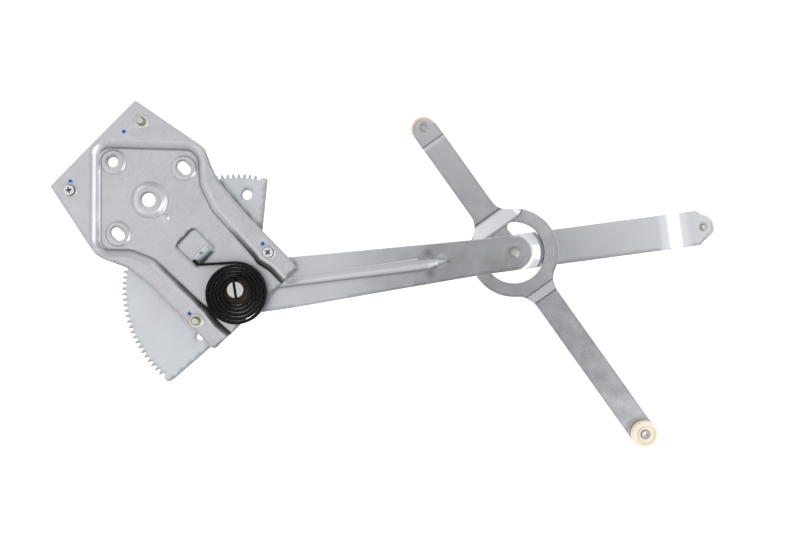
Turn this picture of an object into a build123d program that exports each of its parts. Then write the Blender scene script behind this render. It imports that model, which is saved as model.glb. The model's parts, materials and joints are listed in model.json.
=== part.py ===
from build123d import *
import os
from math import acos, asin, atan2, cos, degrees, hypot, pi, radians, sin, sqrt, tan

# Crossed-arm window regulator, gear-sector type, supplied without motor and without
# roller channels.  Millimetres.  +X runs along the lift arm side of the door, +Y is up
# in the drawing, +Z points to the door's inner panel.  The origin is the centre of the
# four panel fixings, on the front face of the mounting plate's flange.

# ---------------------------------------------------------------- driving dimensions
PLATE_T = 2.0            # mounting plate sheet
POCKET = 8.0             # depth of the pocket below the flange face
WALL_RUN = 8.0           # horizontal run of the pocket's sloping wall
BOSS_H = 4.0             # centre boss, raised from the pocket floor
BOSS_FOOT_R, BOSS_TOP_R, PILOT_R = 18.4, 12.0, 7.0
PAD_H, PAD_FOOT_R, PAD_TOP_R = 1.5, 12.6, 10.8   # raised pads at the motor holes
MOTOR_HOLE_R, SLOT_LEN = 5.0, 15.0
MOTOR_C = (-21.7, 21.7)                          # centre of the motor pilot hole
PAD_A, PAD_B, PAD_C = (-58.2, 60.0), (13.3, 54.0), (-53.2, -12.5)
BUMP = (-5.6, 4.6)

STUD_A, STUD_D = (-27.3, 99.5), (27.3, -99.5)    # M8 studs
SCREW_B, SCREW_C = (-99.0, 31.0), (99.0, -31.0)  # M6 screws
STUD_R, STUD_H, COLLAR_R, COLLAR_H = 4.0, 10.0, 6.7, 2.4
SCREW_R, SCREW_AF, SCREW_FLANGE_R = 3.0, 10.0, 7.3

PIVOT = (66.5, -68.5)    # main pivot
ARM_ANGLE = 7.6          # direction of the lift arm at rest, degrees
L_CROSS, L_LIFT = 283.8, 483.8                   # pivot to scissor rivet, pivot to roller
CROSS_ANGLE = 125.5      # direction of the crossing arm's upper end at rest
L_UP, L_LOW = 158.8, 226.0                       # rivet to upper and lower roller

SHAFT_R, BUSH_GAP = 7.0, 0.06
HEAD_R, HEAD_TOP, SLOT_W = 8.6, 6.0, 3.0

MODULE, TEETH_FULL = 1.8, 128                    # sector teeth, full-circle equivalent
TIP_R, ROOT_R = 117.0, 113.0
SECTOR_T, SECTOR_Z = 2.5, -11.5
SECTOR_HUB_R = 19.2
SECTOR_A0, SECTOR_A1 = 84.35, 220.9              # directions of the two straight edges
SECTOR_SIDE = 26.3                                  # how far the lower straight edge lies from the pivot

ARM_T = 3.0              # lift arm and crossing arm sheet
RING_R, RING_BORE = 45.6, 31.3
ROLLER_R, ROLLER_W, ROLLER_BORE = 13.3, 9.5, 4.06
JOURNAL_R = 4.0

STRIP_T, STRIP_H, STRIP_Z = 2.6, 9.0, -5.5       # spring strip, standing on edge
COIL_C = (66.17, -71.91)                                     # centre of the coil's first quarter turn
COIL_RADII = [30.54, 29.83, 29.05, 28.1, 27.06, 26.13, 25.31, 24.36, 23.27, 22.31, 21.51, 20.58, 19.49, 18.51,
              17.69, 16.78, 15.74, 14.82, 14.12, 13.52]          # quarter turn by quarter turn, inward

C_X = PIVOT[0] + L_CROSS * cos(radians(ARM_ANGLE))
C_Y = PIVOT[1] + L_CROSS * sin(radians(ARM_ANGLE))
R_X = PIVOT[0] + L_LIFT * cos(radians(ARM_ANGLE))
R_Y = PIVOT[1] + L_LIFT * sin(radians(ARM_ANGLE))
U_X = C_X + L_UP * cos(radians(CROSS_ANGLE))
U_Y = C_Y + L_UP * sin(radians(CROSS_ANGLE))
D_X = C_X - L_LOW * cos(radians(CROSS_ANGLE))
D_Y = C_Y - L_LOW * sin(radians(CROSS_ANGLE))

parts = {}


# ---------------------------------------------------------------- helpers
def rounded(points):
    """Closed wire through (x, y, r) corners, each corner rounded to its radius."""
    n = len(points)
    ends = []
    for i in range(n):
        x, y, r = points[i]
        ax, ay = points[i - 1][0] - x, points[i - 1][1] - y
        bx, by = points[(i + 1) % n][0] - x, points[(i + 1) % n][1] - y
        la, lb = hypot(ax, ay), hypot(bx, by)
        ax, ay, bx, by = ax / la, ay / la, bx / lb, by / lb
        if r <= 0:
            ends.append(((x, y), None, (x, y)))
            continue
        half = acos(max(-1.0, min(1.0, ax * bx + ay * by))) / 2
        cut = r / tan(half)
        m = hypot(ax + bx, ay + by)
        ux, uy = (ax + bx) / m, (ay + by) / m
        d = r / sin(half)
        mid = (x + ux * (d - r), y + uy * (d - r))
        ends.append(((x + ax * cut, y + ay * cut), mid, (x + bx * cut, y + by * cut)))
    edges = []
    for i in range(n):
        a, mid, b = ends[i]
        if mid is not None:
            edges.append(ThreePointArc(a, mid, b))
        c = ends[(i + 1) % n][0]
        if hypot(c[0] - b[0], c[1] - b[1]) > 1e-6:
            edges.append(Line(b, c))
    return Wire(edges)


def grown(points, d):
    """The same corners moved outward by d (corners listed clockwise)."""
    n = len(points)
    out = []
    for i in range(n):
        x, y, r = points[i]
        px, py = x - points[i - 1][0], y - points[i - 1][1]
        qx, qy = points[(i + 1) % n][0] - x, points[(i + 1) % n][1] - y
        lp, lq = hypot(px, py), hypot(qx, qy)
        px, py, qx, qy = px / lp, py / lp, qx / lq, qy / lq
        # outward is to the left of the clockwise direction of travel
        nx, ny, mx, my = -py, px, -qy, qx
        k = 1 + nx * mx + ny * my
        ox, oy = (nx + mx) / k, (ny + my) / k
        turn = px * qy - py * qx
        out.append((x + ox * d, y + oy * d, r + d if turn < 0 else r - d))
    return out


def frustum(points, z0, d0, z1, d1):
    w0 = rounded(grown(points, d0)).move(Location((0, 0, z0)))
    w1 = rounded(grown(points, d1)).move(Location((0, 0, z1)))
    return Solid.make_loft([w0, w1], ruled=True)


def slab(wire, z0, z1):
    face = Face(wire)
    if face.normal_at().Z < 0:
        face = -face
    return extrude(face.move(Location((0, 0, z0))), z1 - z0, dir=(0, 0, 1))


def disc(c, r, z0, z1):
    return Pos(c[0], c[1], z0) * Cylinder(r, z1 - z0, align=(Align.CENTER, Align.CENTER, Align.MIN))


def cone(c, r0, r1, z0, z1):
    return Pos(c[0], c[1], z0) * Cone(r0, r1, z1 - z0, align=(Align.CENTER, Align.CENTER, Align.MIN))


def turned(c, profile):
    """Solid of revolution about the vertical through c; profile is (r, z) corners."""
    pts = [(r, 0, z) for r, z in profile]
    face = Face(Wire(Polyline(*pts, close=True).edges()))
    s = revolve(face, Axis.Z, 360)
    return Pos(c[0], c[1], 0) * s


def hexagon(c, af, z0, z1, turn=0.0):
    r = af / 2 / cos(radians(30))
    pts = [(c[0] + r * cos(radians(60 * k + turn)), c[1] + r * sin(radians(60 * k + turn)), 0) for k in range(6)]
    return slab(rounded(pts), z0, z1)


def slot_hole(c, r, length, angle, z0, z1):
    half = length / 2 - r
    a = radians(angle)
    pts = []
    for s, t in ((-half - r, r), (half + r, r), (half + r, -r), (-half - r, -r)):
        pts.append((c[0] + s * cos(a) - t * sin(a), c[1] + s * sin(a) + t * cos(a), r - 1e-3))
    return slab(rounded(pts), z0, z1)


def strip_profile(points, t):
    """Closed outline of a sheet of thickness t hanging below the front line (x, z)."""
    n = len(points)
    back = []
    for i in range(n):
        dirs = []
        if i > 0:
            dx, dz = points[i][0] - points[i - 1][0], points[i][1] - points[i - 1][1]
            dirs.append((dx / hypot(dx, dz), dz / hypot(dx, dz)))
        if i < n - 1:
            dx, dz = points[i + 1][0] - points[i][0], points[i + 1][1] - points[i][1]
            dirs.append((dx / hypot(dx, dz), dz / hypot(dx, dz)))
        if len(dirs) == 1:
            dirs = dirs * 2
        (ax, az), (bx, bz) = dirs
        nx, nz, mx, mz = az, -ax, bz, -bx
        k = 1 + nx * mx + nz * mz
        back.append((points[i][0] + (nx + mx) / k * t, points[i][1] + (nz + mz) / k * t))
    return list(points) + back[::-1]


def along(profile, half_width):
    """Extrudes an (x, z) outline across y, from -half_width to +half_width."""
    pts = [(x, -half_width, z) for x, z in profile]
    face = Face(Wire(Polyline(*pts, close=True).edges()))
    return extrude(face, 2 * half_width, dir=(0, 1, 0))


def place(shape, origin, angle):
    return Pos(origin[0], origin[1], 0) * (Rot(0, 0, angle) * shape)


# ---------------------------------------------------------------- mounting plate
PLANFORM = [
    (-34.2, 121.3, 2.5), (35.1, 73.9, 14), (42.3, 55.0, 25), (50.1, 39.2, 40), (64.4, 22.0, 60), (75.8, 8.6, 60),
    (119.5, -36.3, 12), (127.8, -46.4, 3), (45.3, -128.2, 4), (41.5, -125.4, 6), (-17.2, -66.0, 30),
    (-41.0, -47.0, 30), (-63.8, -38.4, 20), (-72.8, -34.2, 16), (-80.5, -24.0, 20),
    (-119.2, 35.3, 2.5),
]
FOOT = [
    (-71.1, 74.2, 9), (26.0, 71.5, 13), (28.9, 36.0, 25), (41.3, 10.7, 30),
    (83.0, -36.0, 12), (86.6, -42.0, 12), (99.0, -49.6, 20), (128.0, -80.0, 0), (79.0, -131.0, 0),
    (59.5, -111.0, 20), (48.4, -101.4, 25), (38.6, -87.4, 10), (32.0, -82.6, 10), (-16.0, -37.5, 30),
    (-40.0, -28.0, 25), (-71.5, -28.0, 10),
]
planform = slab(rounded(PLANFORM), -60, 60)
flange = slab(rounded(PLANFORM), -PLATE_T, 0)
k = PLATE_T * sqrt(1 + (WALL_RUN / POCKET) ** 2) * POCKET / POCKET
floor_back = -(POCKET + PLATE_T)
slope = WALL_RUN / POCKET
outer = frustum(FOOT, floor_back, k - PLATE_T * slope, -1.0, (POCKET - 1.0) * slope + k)
inner = frustum(FOOT, -POCKET, 0.0, 0.6, (POCKET + 0.6) * slope)
plate = (flange + outer) & planform
plate -= inner

# centre boss and motor pads, drawn up from the pocket floor
wall = PLATE_T * 1.12
plate += cone(MOTOR_C, BOSS_FOOT_R, BOSS_TOP_R, -POCKET, -POCKET + BOSS_H)
plate -= cone(MOTOR_C, BOSS_FOOT_R - wall + 0.9, BOSS_TOP_R - wall + 0.9, floor_back, floor_back + BOSS_H)
plate -= disc(MOTOR_C, PILOT_R, -20, 5)
for c in (PAD_A, PAD_B, PAD_C):
    plate += cone(c, PAD_FOOT_R, PAD_TOP_R, -POCKET, -POCKET + PAD_H)
    plate -= cone(c, PAD_FOOT_R - 0.6, PAD_TOP_R - 0.6, floor_back, floor_back + PAD_H)
plate -= disc(PAD_A, MOTOR_HOLE_R, -20, 5)
plate -= slot_hole(PAD_B, MOTOR_HOLE_R, SLOT_LEN, -45, -20, 5)
plate -= slot_hole(PAD_C, MOTOR_HOLE_R, SLOT_LEN, -45, -20, 5)
plate += cone(BUMP, 4.4, 2.2, -POCKET, -POCKET + 1.6)

# window with the bent-up spring tab; e runs along its lower-right edge, n across it
E = (0.693, 0.721)
N = (-0.721, 0.693)
ROOT = (28.0, -47.3)


def tab_point(e, n):
    return (ROOT[0] + e * E[0] + n * N[0], ROOT[1] + e * E[1] + n * N[1])


WINDOW = [tab_point(-0.4, 32.2) + (4.0,), tab_point(25.4, 32.2) + (4.0,), tab_point(25.4, 0.0) + (4.0,), tab_point(-0.4, 0.0) + (4.0,)]
plate -= slab(rounded(WINDOW), -20, 5)
TAB_E0, TAB_E1 = 5.2, 21.8
tab_line = [(-1.5, -POCKET - PLATE_T), (1.0, -POCKET - PLATE_T), (3.2, -8.9), (4.4, -7.2), (11.0, 3.4)]
tab_face = strip_profile([(-x, z) for x, z in tab_line], PLATE_T)
tab_face = [(-x, z) for x, z in tab_face]
tab = along(tab_face, (TAB_E1 - TAB_E0) / 2)
# local x of the tab profile is n, local y is minus e
mid_e = (TAB_E0 + TAB_E1) / 2
cx, cy = tab_point(mid_e, 0)
tab = place(tab, (cx, cy), degrees(atan2(N[1], N[0])))
notch = place(Pos(10.6, -0.6, 4.0) * Box(4.0, 2.6, 4.6), (cx, cy), degrees(atan2(N[1], N[0])))
plate += tab - notch

# fixing holes and the pivot bush's seat
for c in (STUD_A, STUD_D):
    plate -= disc(c, 5.0, -5, 2)
for c in (SCREW_B, SCREW_C):
    plate -= disc(c, 3.4, -5, 2)
plate -= disc(PIVOT, 9.0, -20, 2)
parts["mounting_plate"] = plate


# ---------------------------------------------------------------- fixings on the plate
def door_stud(c):
    body = turned(c, [(0, -3.6), (4.9, -3.6), (4.9, 0), (COLLAR_R, 0), (COLLAR_R, COLLAR_H - 0.5),
                      (COLLAR_R - 0.5, COLLAR_H), (STUD_R, COLLAR_H), (STUD_R, STUD_H - 1.2),
                      (STUD_R - 1.2, STUD_H), (0, STUD_H)])
    return body


def clinch_ring(c):
    return turned(c, [(4.9, -2.0), (5.9, -2.0), (5.9, -3.2), (5.5, -3.6), (4.9, -3.6)])


parts["door_stud_upper"] = door_stud(STUD_A)
parts["door_stud_lower"] = door_stud(STUD_D)
parts["clinch_ring_upper"] = clinch_ring(STUD_A)
parts["clinch_ring_lower"] = clinch_ring(STUD_D)


def panel_screw(c, turn):
    body = turned(c, [(0, -9.6), (1.9, -9.6), (SCREW_R, -8.4), (SCREW_R, 0), (SCREW_FLANGE_R, 0),
                      (SCREW_FLANGE_R, 0.8), (SCREW_FLANGE_R - 0.8, 1.4), (0, 1.4)])
    head = hexagon(c, SCREW_AF, 1.3, 5.0, turn)
    dome = turned(c, [(0, 0), (SCREW_AF / 2 + 1.2, 0), (SCREW_AF / 2 + 1.2, 3.9), (SCREW_AF / 2 - 0.1, 5.0), (0, 5.0)])
    body += head & dome
    for a in (0, 90):
        body -= Pos(c[0], c[1], 4.0) * (Rot(0, 0, a + turn + 20) * Box(5.6, 1.3, 3.6))
    body -= cone(c, 1.0, 1.7, 1.8, 5.1)
    return body


def weld_nut(c, turn):
    nut = hexagon(c, 12.0, -7.2, -PLATE_T, turn)
    nut -= disc(c, SCREW_R + 0.02, -9, 0)
    return nut


parts["panel_screw_left"] = panel_screw(SCREW_B, 34)
parts["panel_screw_right"] = panel_screw(SCREW_C, 25)
parts["weld_nut_left"] = weld_nut(SCREW_B, 45)
parts["weld_nut_right"] = weld_nut(SCREW_C, 45)

# ---------------------------------------------------------------- main pivot
parts["pivot_bush"] = turned(PIVOT, [(SHAFT_R + BUSH_GAP, -10.0), (9.0, -10.0), (9.0, -8.0), (15.2, -8.0),
                                     (15.2, -6.4), (14.8, -6.0), (SHAFT_R + BUSH_GAP, -6.0)])
post = turned(PIVOT, [(0, -19.2), (8.4, -19.2), (9.6, -18.4), (9.6, -17.0), (SHAFT_R, -17.0), (SHAFT_R, -5.85),
                      (HEAD_R, -5.85), (HEAD_R, HEAD_TOP - 0.8), (HEAD_R - 0.8, HEAD_TOP), (0, HEAD_TOP)])
SLOT_DIR = -81.3
post -= Pos(PIVOT[0], PIVOT[1], 0) * (Rot(0, 0, SLOT_DIR) * (Pos(0, 0, 1.4) * Box(30, SLOT_W, 14.0)))
parts["pivot_post"] = post
parts["pivot_washer"] = turned(PIVOT, [(SHAFT_R, -11.5), (14.0, -11.5), (14.0, -10.15), (SHAFT_R, -10.15)])


# ---------------------------------------------------------------- counterbalance spring
def counter_spring():
    """Flat strip wound clockwise inward from the hook at the tab to the post's slot."""
    hook_dir = radians(136)
    corner = (29.04, -43.47)
    gx, gy = COIL_C[0] - corner[0], COIL_C[1] - corner[1]
    leg_dir = pi + atan2(gy, gx) + asin(COIL_RADII[0] / hypot(gx, gy))   # tangent to the coil
    r_hook = 2.6
    turn = leg_dir - hook_dir
    cut = r_hook * tan(turn / 2)
    # listed from the hook tip inward, so the leg runs to the coil
    tip = (corner[0] + 6.6 * cos(hook_dir), corner[1] + 6.6 * sin(hook_dir))
    p1 = (corner[0] + cut * cos(hook_dir), corner[1] + cut * sin(hook_dir))
    p2 = (corner[0] - cut * cos(leg_dir), corner[1] - cut * sin(leg_dir))
    # arcs are (centre, radius, start, end) in degrees, the strip's centre line
    path = [("line", tip, p1)]
    # the hook's arc turns left on the way from its tip to the coil
    c_l = (p1[0] + r_hook * cos(hook_dir - pi / 2), p1[1] + r_hook * sin(hook_dir - pi / 2))
    a0 = degrees(atan2(p1[1] - c_l[1], p1[0] - c_l[0]))
    a1 = degrees(atan2(p2[1] - c_l[1], p2[0] - c_l[0]))
    while a1 < a0:
        a1 += 360
    path.append(("arc", c_l, r_hook, a0, a1))
    t_ang = degrees(leg_dir) - 90
    r = COIL_RADII[0]
    start = (COIL_C[0] + r * cos(radians(t_ang)), COIL_C[1] + r * sin(radians(t_ang)))
    path.append(("line", p2, start))
    # quarter turns going round clockwise; each centre lies on the line to the shared point
    a, c = t_ang, COIL_C
    for k, r in enumerate(COIL_RADII):
        if k > 0:
            a = 90.0 * (1 - k % 4)
            back = COIL_RADII[k - 1] - r
            c = (c[0] + back * cos(radians(a)), c[1] + back * sin(radians(a)))
        if k < len(COIL_RADII) - 1:
            path.append(("arc", c, r, a, 90.0 * (1 - k % 4) - 90.0))
    # inner end: a tight bend from the last quarter turn down into the post's slot
    d = (cos(radians(SLOT_DIR)), sin(radians(SLOT_DIR)))
    nn = (d[1], -d[0])
    q = 1.9
    lo, hi = -20.0, 0.0
    for _ in range(60):
        s = (lo + hi) / 2
        m = (PIVOT[0] + s * d[0] + q * nn[0], PIVOT[1] + s * d[1] + q * nn[1])
        if hypot(m[0] - c[0], m[1] - c[1]) > r - q:
            lo = s
        else:
            hi = s
    ang = degrees(atan2(m[1] - c[1], m[0] - c[0]))
    path.append(("arc", c, r, 180.0, ang))
    a_line = degrees(atan2(-nn[1], -nn[0]))
    path.append(("arc", m, q, ang, a_line))
    t2 = (m[0] - q * nn[0], m[1] - q * nn[1])
    path.append(("line", t2, (PIVOT[0] + 9.6 * d[0], PIVOT[1] + 9.6 * d[1])))
    h = STRIP_T / 2

    def point(cc, rr, deg):
        return (cc[0] + rr * cos(radians(deg)), cc[1] + rr * sin(radians(deg)))

    left, right = [], []
    for seg in path:
        if seg[0] == "line":
            (x0, y0), (x1, y1) = seg[1], seg[2]
            ln = hypot(x1 - x0, y1 - y0)
            ox, oy = -(y1 - y0) / ln * h, (x1 - x0) / ln * h
            left.append(Line((x0 + ox, y0 + oy), (x1 + ox, y1 + oy)))
            right.append(Line((x0 - ox, y0 - oy), (x1 - ox, y1 - oy)))
        else:
            _, cc, rr, s0, s1 = seg
            sgn = 1 if s1 > s0 else -1       # 1 turns left, so the left side is inside
            mid = (s0 + s1) / 2
            for bag, rad in ((left, rr - sgn * h), (right, rr + sgn * h)):
                bag.append(ThreePointArc(point(cc, rad, s0), point(cc, rad, mid), point(cc, rad, s1)))
    edges = left + [Line(left[-1] @ 1, right[-1] @ 1)] + right[::-1] + [Line(right[0] @ 0, left[0] @ 0)]
    return slab(Wire(edges), STRIP_Z, STRIP_Z + STRIP_H), path


spring, spring_path = counter_spring()
parts["counterbalance_spring"] = spring


# ---------------------------------------------------------------- sector gear
def sector_gear():
    pts = []
    x0, y0 = PIVOT

    def polar(r, a):
        return (x0 + r * cos(radians(a)), y0 + r * sin(radians(a)))

    pitch = 360.0 / TEETH_FULL
    first, count = 79.6, 53
    pts.append(polar(SECTOR_HUB_R, SECTOR_A0 - 90))
    end_a = SECTOR_A0 - degrees(atan2(SECTOR_HUB_R, sqrt(116.3 ** 2 - SECTOR_HUB_R ** 2)))
    pts.append(polar(116.3, end_a))
    pts.append(polar(116.3, (end_a + first) / 2))
    for i in range(count):
        a = first + i * pitch
        pts.append(polar(ROOT_R, a - 0.18 * pitch))
        pts.append(polar(ROOT_R, a + 0.18 * pitch))
        pts.append(polar((ROOT_R + TIP_R) / 2, a + 0.255 * pitch))
        pts.append(polar(TIP_R, a + 0.36 * pitch))
        pts.append(polar(TIP_R, a + 0.64 * pitch))
        pts.append(polar((ROOT_R + TIP_R) / 2, a + 0.745 * pitch))
    a = first + count * pitch
    pts.append(polar(ROOT_R, a - 0.18 * pitch))
    pts.append(polar(ROOT_R, a + 0.18 * pitch))
    pts.append(polar(116.3, a + 0.5 * pitch))
    pts.append(polar(116.8, 231.0))
    pts.append(polar(117.0, 232.4))
    pts.append(polar(115.9, 233.5))
    # the lower straight edge runs beside the hub, 26.3 mm from the pivot
    ux, uy = cos(radians(SECTOR_A1)), sin(radians(SECTOR_A1))
    for along_edge in (108.5, 14.0):
        pts.append((x0 + along_edge * ux - SECTOR_SIDE * uy, y0 + along_edge * uy + SECTOR_SIDE * ux))
    pts.append(polar(SECTOR_HUB_R, 313.5))
    edges = [Line(pts[i], pts[i + 1]) for i in range(len(pts) - 1)]
    edges.append(ThreePointArc(pts[-1], polar(SECTOR_HUB_R, (313.5 + SECTOR_A0 + 270) / 2), pts[0]))
    s = slab(Wire(edges), SECTOR_Z - SECTOR_T, SECTOR_Z)
    s -= disc(PIVOT, SHAFT_R, -20, 0)
    s -= disc(polar(96.2, 84.2), 4.7, -20, 0)
    s -= disc(polar(60.7, 231.6), 3.7, -20, 0)
    for c in RIVETS:
        s -= disc(c, 3.0, -20, 0)
    return s


RIVETS = [(PIVOT[0] + 20.0 * cos(radians(a)), PIVOT[1] + 20.0 * sin(radians(a))) for a in (95, 155, 215)]
parts["sector_gear"] = sector_gear()
rivets = None
for c in RIVETS:
    one = turned(c, [(0, -19.0), (3.6, -19.0), (4.6, -18.2), (4.6, -17.0), (3.0, -17.0), (3.0, -11.5), (4.4, -11.5),
                     (4.2, -10.5), (0, -10.5)])
    rivets = one if rivets is None else rivets + one
parts["sector_rivets"] = rivets

# ---------------------------------------------------------------- lift arm
LIFT_FRONT = [(-40, -14.0), (66, -14.0), (197, -21.0), (L_CROSS + 9, -21.0)]
JOGGLE_R0, JOGGLE_R1 = 21.0, 28.4
LOW_Z, END_Z = -29.5, -38.5
J2_A, J2_B = 443.0, 461.5
OUTLINE = [
    (-0.5, 26.4, 0), (48.0, 25.9, 60), (250.0, 18.2, 80), (478.3, 18.2, 2), (486.0, 11.4, 2), (493.6, 5.2, 5),
    (493.6, -5.2, 5), (486.0, -11.4, 2), (478.3, -18.2, 2), (250.0, -18.2, 80), (48.0, -25.9, 60), (-0.5, -26.4, 0),
]
arm_plan = slab(rounded(OUTLINE), -60, 20) + disc((-0.5, 0), 26.4, -60, 20)
left_part = along(strip_profile(LIFT_FRONT, ARM_T), 40) & arm_plan
right_front = [(L_CROSS + 59, LOW_Z), (J2_A, LOW_Z), (J2_B, END_Z), (520, END_Z)]
right_part = along(strip_profile(right_front, ARM_T), 40) & arm_plan
bowl = strip_profile([(8.0, -21.0), (JOGGLE_R0, -21.0), (JOGGLE_R1, LOW_Z), (60.0, LOW_Z)], ARM_T)
bowl = turned((L_CROSS, 0), bowl)
mid_zone = Pos(L_CROSS + 9 + 25.2, 0, -30) * Box(50.4, 80, 60)
bowl = (bowl & mid_zone) & arm_plan
arm = left_part + bowl + right_part
# stiffening rib pressed towards the door panel
RIB_A, RIB_B, RIB_H = 30.0, 215.0, 3.0
RIB_W0, RIB_W1 = 4.2, 5.8


def wedge(z_shift, grow):
    """Ridge with a triangular section that ends in a point."""
    def front(x):
        return -14.0 if x < 66 else (-14.0 - 7.0 * (x - 66) / 131.0 if x < 197 else -21.0)

    stations = [(RIB_A, RIB_W0, RIB_H), (62.0, RIB_W0 + 0.1, RIB_H), (RIB_B - 20, RIB_W1, RIB_H), (RIB_B, 0.6, 0.2)]
    wires = []
    for x, w, h in stations:
        z = front(x) + z_shift
        w = w + grow
        wires.append(Wire(Polyline((x, -w, z - 0.6), (x, w, z - 0.6), (x, 0, z + h), close=True).edges()))
    return Solid.make_loft(wires, ruled=True)


arm += wedge(0.0, 0.0)
arm -= disc((0, 0), SHAFT_R, -60, 20)
arm -= disc((L_CROSS, 0), 4.5, -60, 20)
arm -= disc((L_LIFT, 0), 3.2, -60, 20)
lift_arm = place(arm, PIVOT, ARM_ANGLE)
for c in RIVETS:
    lift_arm -= disc(c, 3.0, -60, 20)
parts["lift_arm"] = lift_arm

C = (C_X, C_Y)
parts["scissor_rivet"] = turned(C, [(0, -31.0), (7.5, -31.0), (8.6, -30.2), (8.6, -29.0), (6.0, -29.0), (6.0, -24.0),
                                    (4.5, -24.0), (4.5, -21.0), (5.6, -21.0), (5.0, -19.8), (3.4, -19.1), (0, -18.9)])
parts["friction_washer"] = turned(C, [(6.05, -24.85), (13.0, -24.85), (13.0, -24.0), (6.05, -24.0)])
parts["back_washer"] = turned(C, [(6.0, -29.0), (11.5, -29.0), (11.5, -28.15), (6.0, -28.15)])

# ---------------------------------------------------------------- crossing arm
EQ_FRONT = [(-260, -21.0), (-52.9, -21.0), (-46.4, -25.0), (28.4, -25.0), (42.6, -37.0), (139.3, -37.0),
            (141.4, -38.5), (190, -38.5)]
UP_PLAN = [(20.0, 29.0, 0), (34.0, 27.5, 6), (54.0, 13.5, 26), (156.5, 13.5, 3), (167.6, 4.8, 7), (167.6, -4.8, 7),
           (156.5, -13.5, 3), (54.0, -13.5, 26), (34.0, -27.5, 6), (20.0, -29.0, 0)]
LOW_PLAN = [(-20.0, -36.0, 0), (-33.0, -30.0, 6), (-56.0, -13.4, 26), (-226.0, -13.4, 0), (-226.0, 13.4, 0),
            (-56.0, 13.4, 26), (-33.0, 30.0, 6), (-20.0, 36.0, 0)]
ring_plan = disc((0, 0), RING_R, -60, 0) + slab(rounded(UP_PLAN), -60, 0) + slab(rounded(LOW_PLAN), -60, 0)
ring_plan += disc((-L_LOW, 0), 13.9, -60, 0)
ring_plan -= disc((0, 0), RING_BORE, -60, 0)
TONGUE = [(0.0, 17.0, 0), (6.0, 16.1, 4), (18.0, 8.6, 8), (27.0, 8.6, 8), (36.0, 17.6, 0), (36.0, -17.6, 0),
          (27.0, -8.6, 8), (18.0, -8.6, 8), (6.0, -16.1, 4), (0.0, -17.0, 0)]
ring_plan += disc((0, 0), 17.2, -60, 0) + slab(rounded(TONGUE), -60, 0)
cross = along(strip_profile(EQ_FRONT, ARM_T), 60) & ring_plan
cross -= disc((0, 0), 6.06, -60, 0)
cross -= disc((L_UP, 0), 3.2, -60, 0)
cross -= disc((-L_LOW, 0), 3.2, -60, 0)
parts["crossing_arm"] = place(cross, C, CROSS_ANGLE)


# ---------------------------------------------------------------- roller studs and rollers
def roller_stud(c, front, side):
    """side -1: roller behind the arm; side 1: roller in front of it.  front is the arm's
    front face."""
    if side < 0:
        z = front - ARM_T
        prof = [(0, front + 1.6), (2.6, front + 1.5), (3.9, front + 0.6), (3.9, front), (3.2, front), (3.2, z),
                (6.4, z), (6.4, z - 0.8), (JOURNAL_R, z - 0.8), (JOURNAL_R, z - 0.8 - ROLLER_W - 0.4),
                (4.9, z - 0.8 - ROLLER_W - 0.4), (4.9, z - 1.2 - ROLLER_W - 0.7), (4.3, z - 1.2 - ROLLER_W - 1.2),
                (0, z - 1.2 - ROLLER_W - 1.2)]
    else:
        z = front
        prof = [(0, z - ARM_T - 1.6), (2.6, z - ARM_T - 1.5), (3.9, z - ARM_T - 0.6), (3.9, z - ARM_T),
                (3.2, z - ARM_T), (3.2, z), (6.4, z), (6.4, z + 0.8), (JOURNAL_R, z + 0.8),
                (JOURNAL_R, z + 0.8 + ROLLER_W + 0.4), (4.9, z + 0.8 + ROLLER_W + 0.4),
                (4.9, z + 1.2 + ROLLER_W + 0.7), (4.3, z + 1.2 + ROLLER_W + 1.2), (0, z + 1.2 + ROLLER_W + 1.2)]
    return turned(c, prof)


def roller(c, z0, z1):
    r, b = ROLLER_R, ROLLER_BORE
    prof = [(b, z0), (7.0, z0), (7.4, z0 + 0.9), (9.6, z0 + 0.9), (10.0, z0), (r - 1.3, z0), (r - 0.4, z0 + 0.4),
            (r, z0 + 1.3), (r, z1 - 1.3), (r - 0.4, z1 - 0.4), (r - 1.3, z1), (10.0, z1), (9.6, z1 - 0.9),
            (7.4, z1 - 0.9), (7.0, z1), (b, z1)]
    return turned(c, prof)


R, U, D = (R_X, R_Y), (U_X, U_Y), (D_X, D_Y)
parts["lift_roller_stud"] = roller_stud(R, END_Z, -1)
parts["upper_roller_stud"] = roller_stud(U, -38.5, -1)
parts["lower_roller_stud"] = roller_stud(D, -21.0, 1)
back_top = END_Z - ARM_T - 0.8 - 0.2
parts["lift_roller"] = roller(R, back_top - ROLLER_W, back_top)
parts["upper_roller"] = roller(U, back_top - ROLLER_W, back_top)
front_low = -21.0 + 0.8 + 0.2
parts["lower_roller"] = roller(D, front_low, front_low + ROLLER_W)

os.makedirs("parts", exist_ok=True)
for name, shape in parts.items():
    export_step(shape, f"parts/{name}.step")
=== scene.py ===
import json
from math import acos, asin, atan2, ceil, cos, degrees, hypot, pi, radians, sin, sqrt, tan

import bmesh
import bpy
import numpy as np
from mathutils import Matrix, Vector
from mathutils.geometry import delaunay_2d_cdt
from mathutils.kdtree import KDTree

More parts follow.
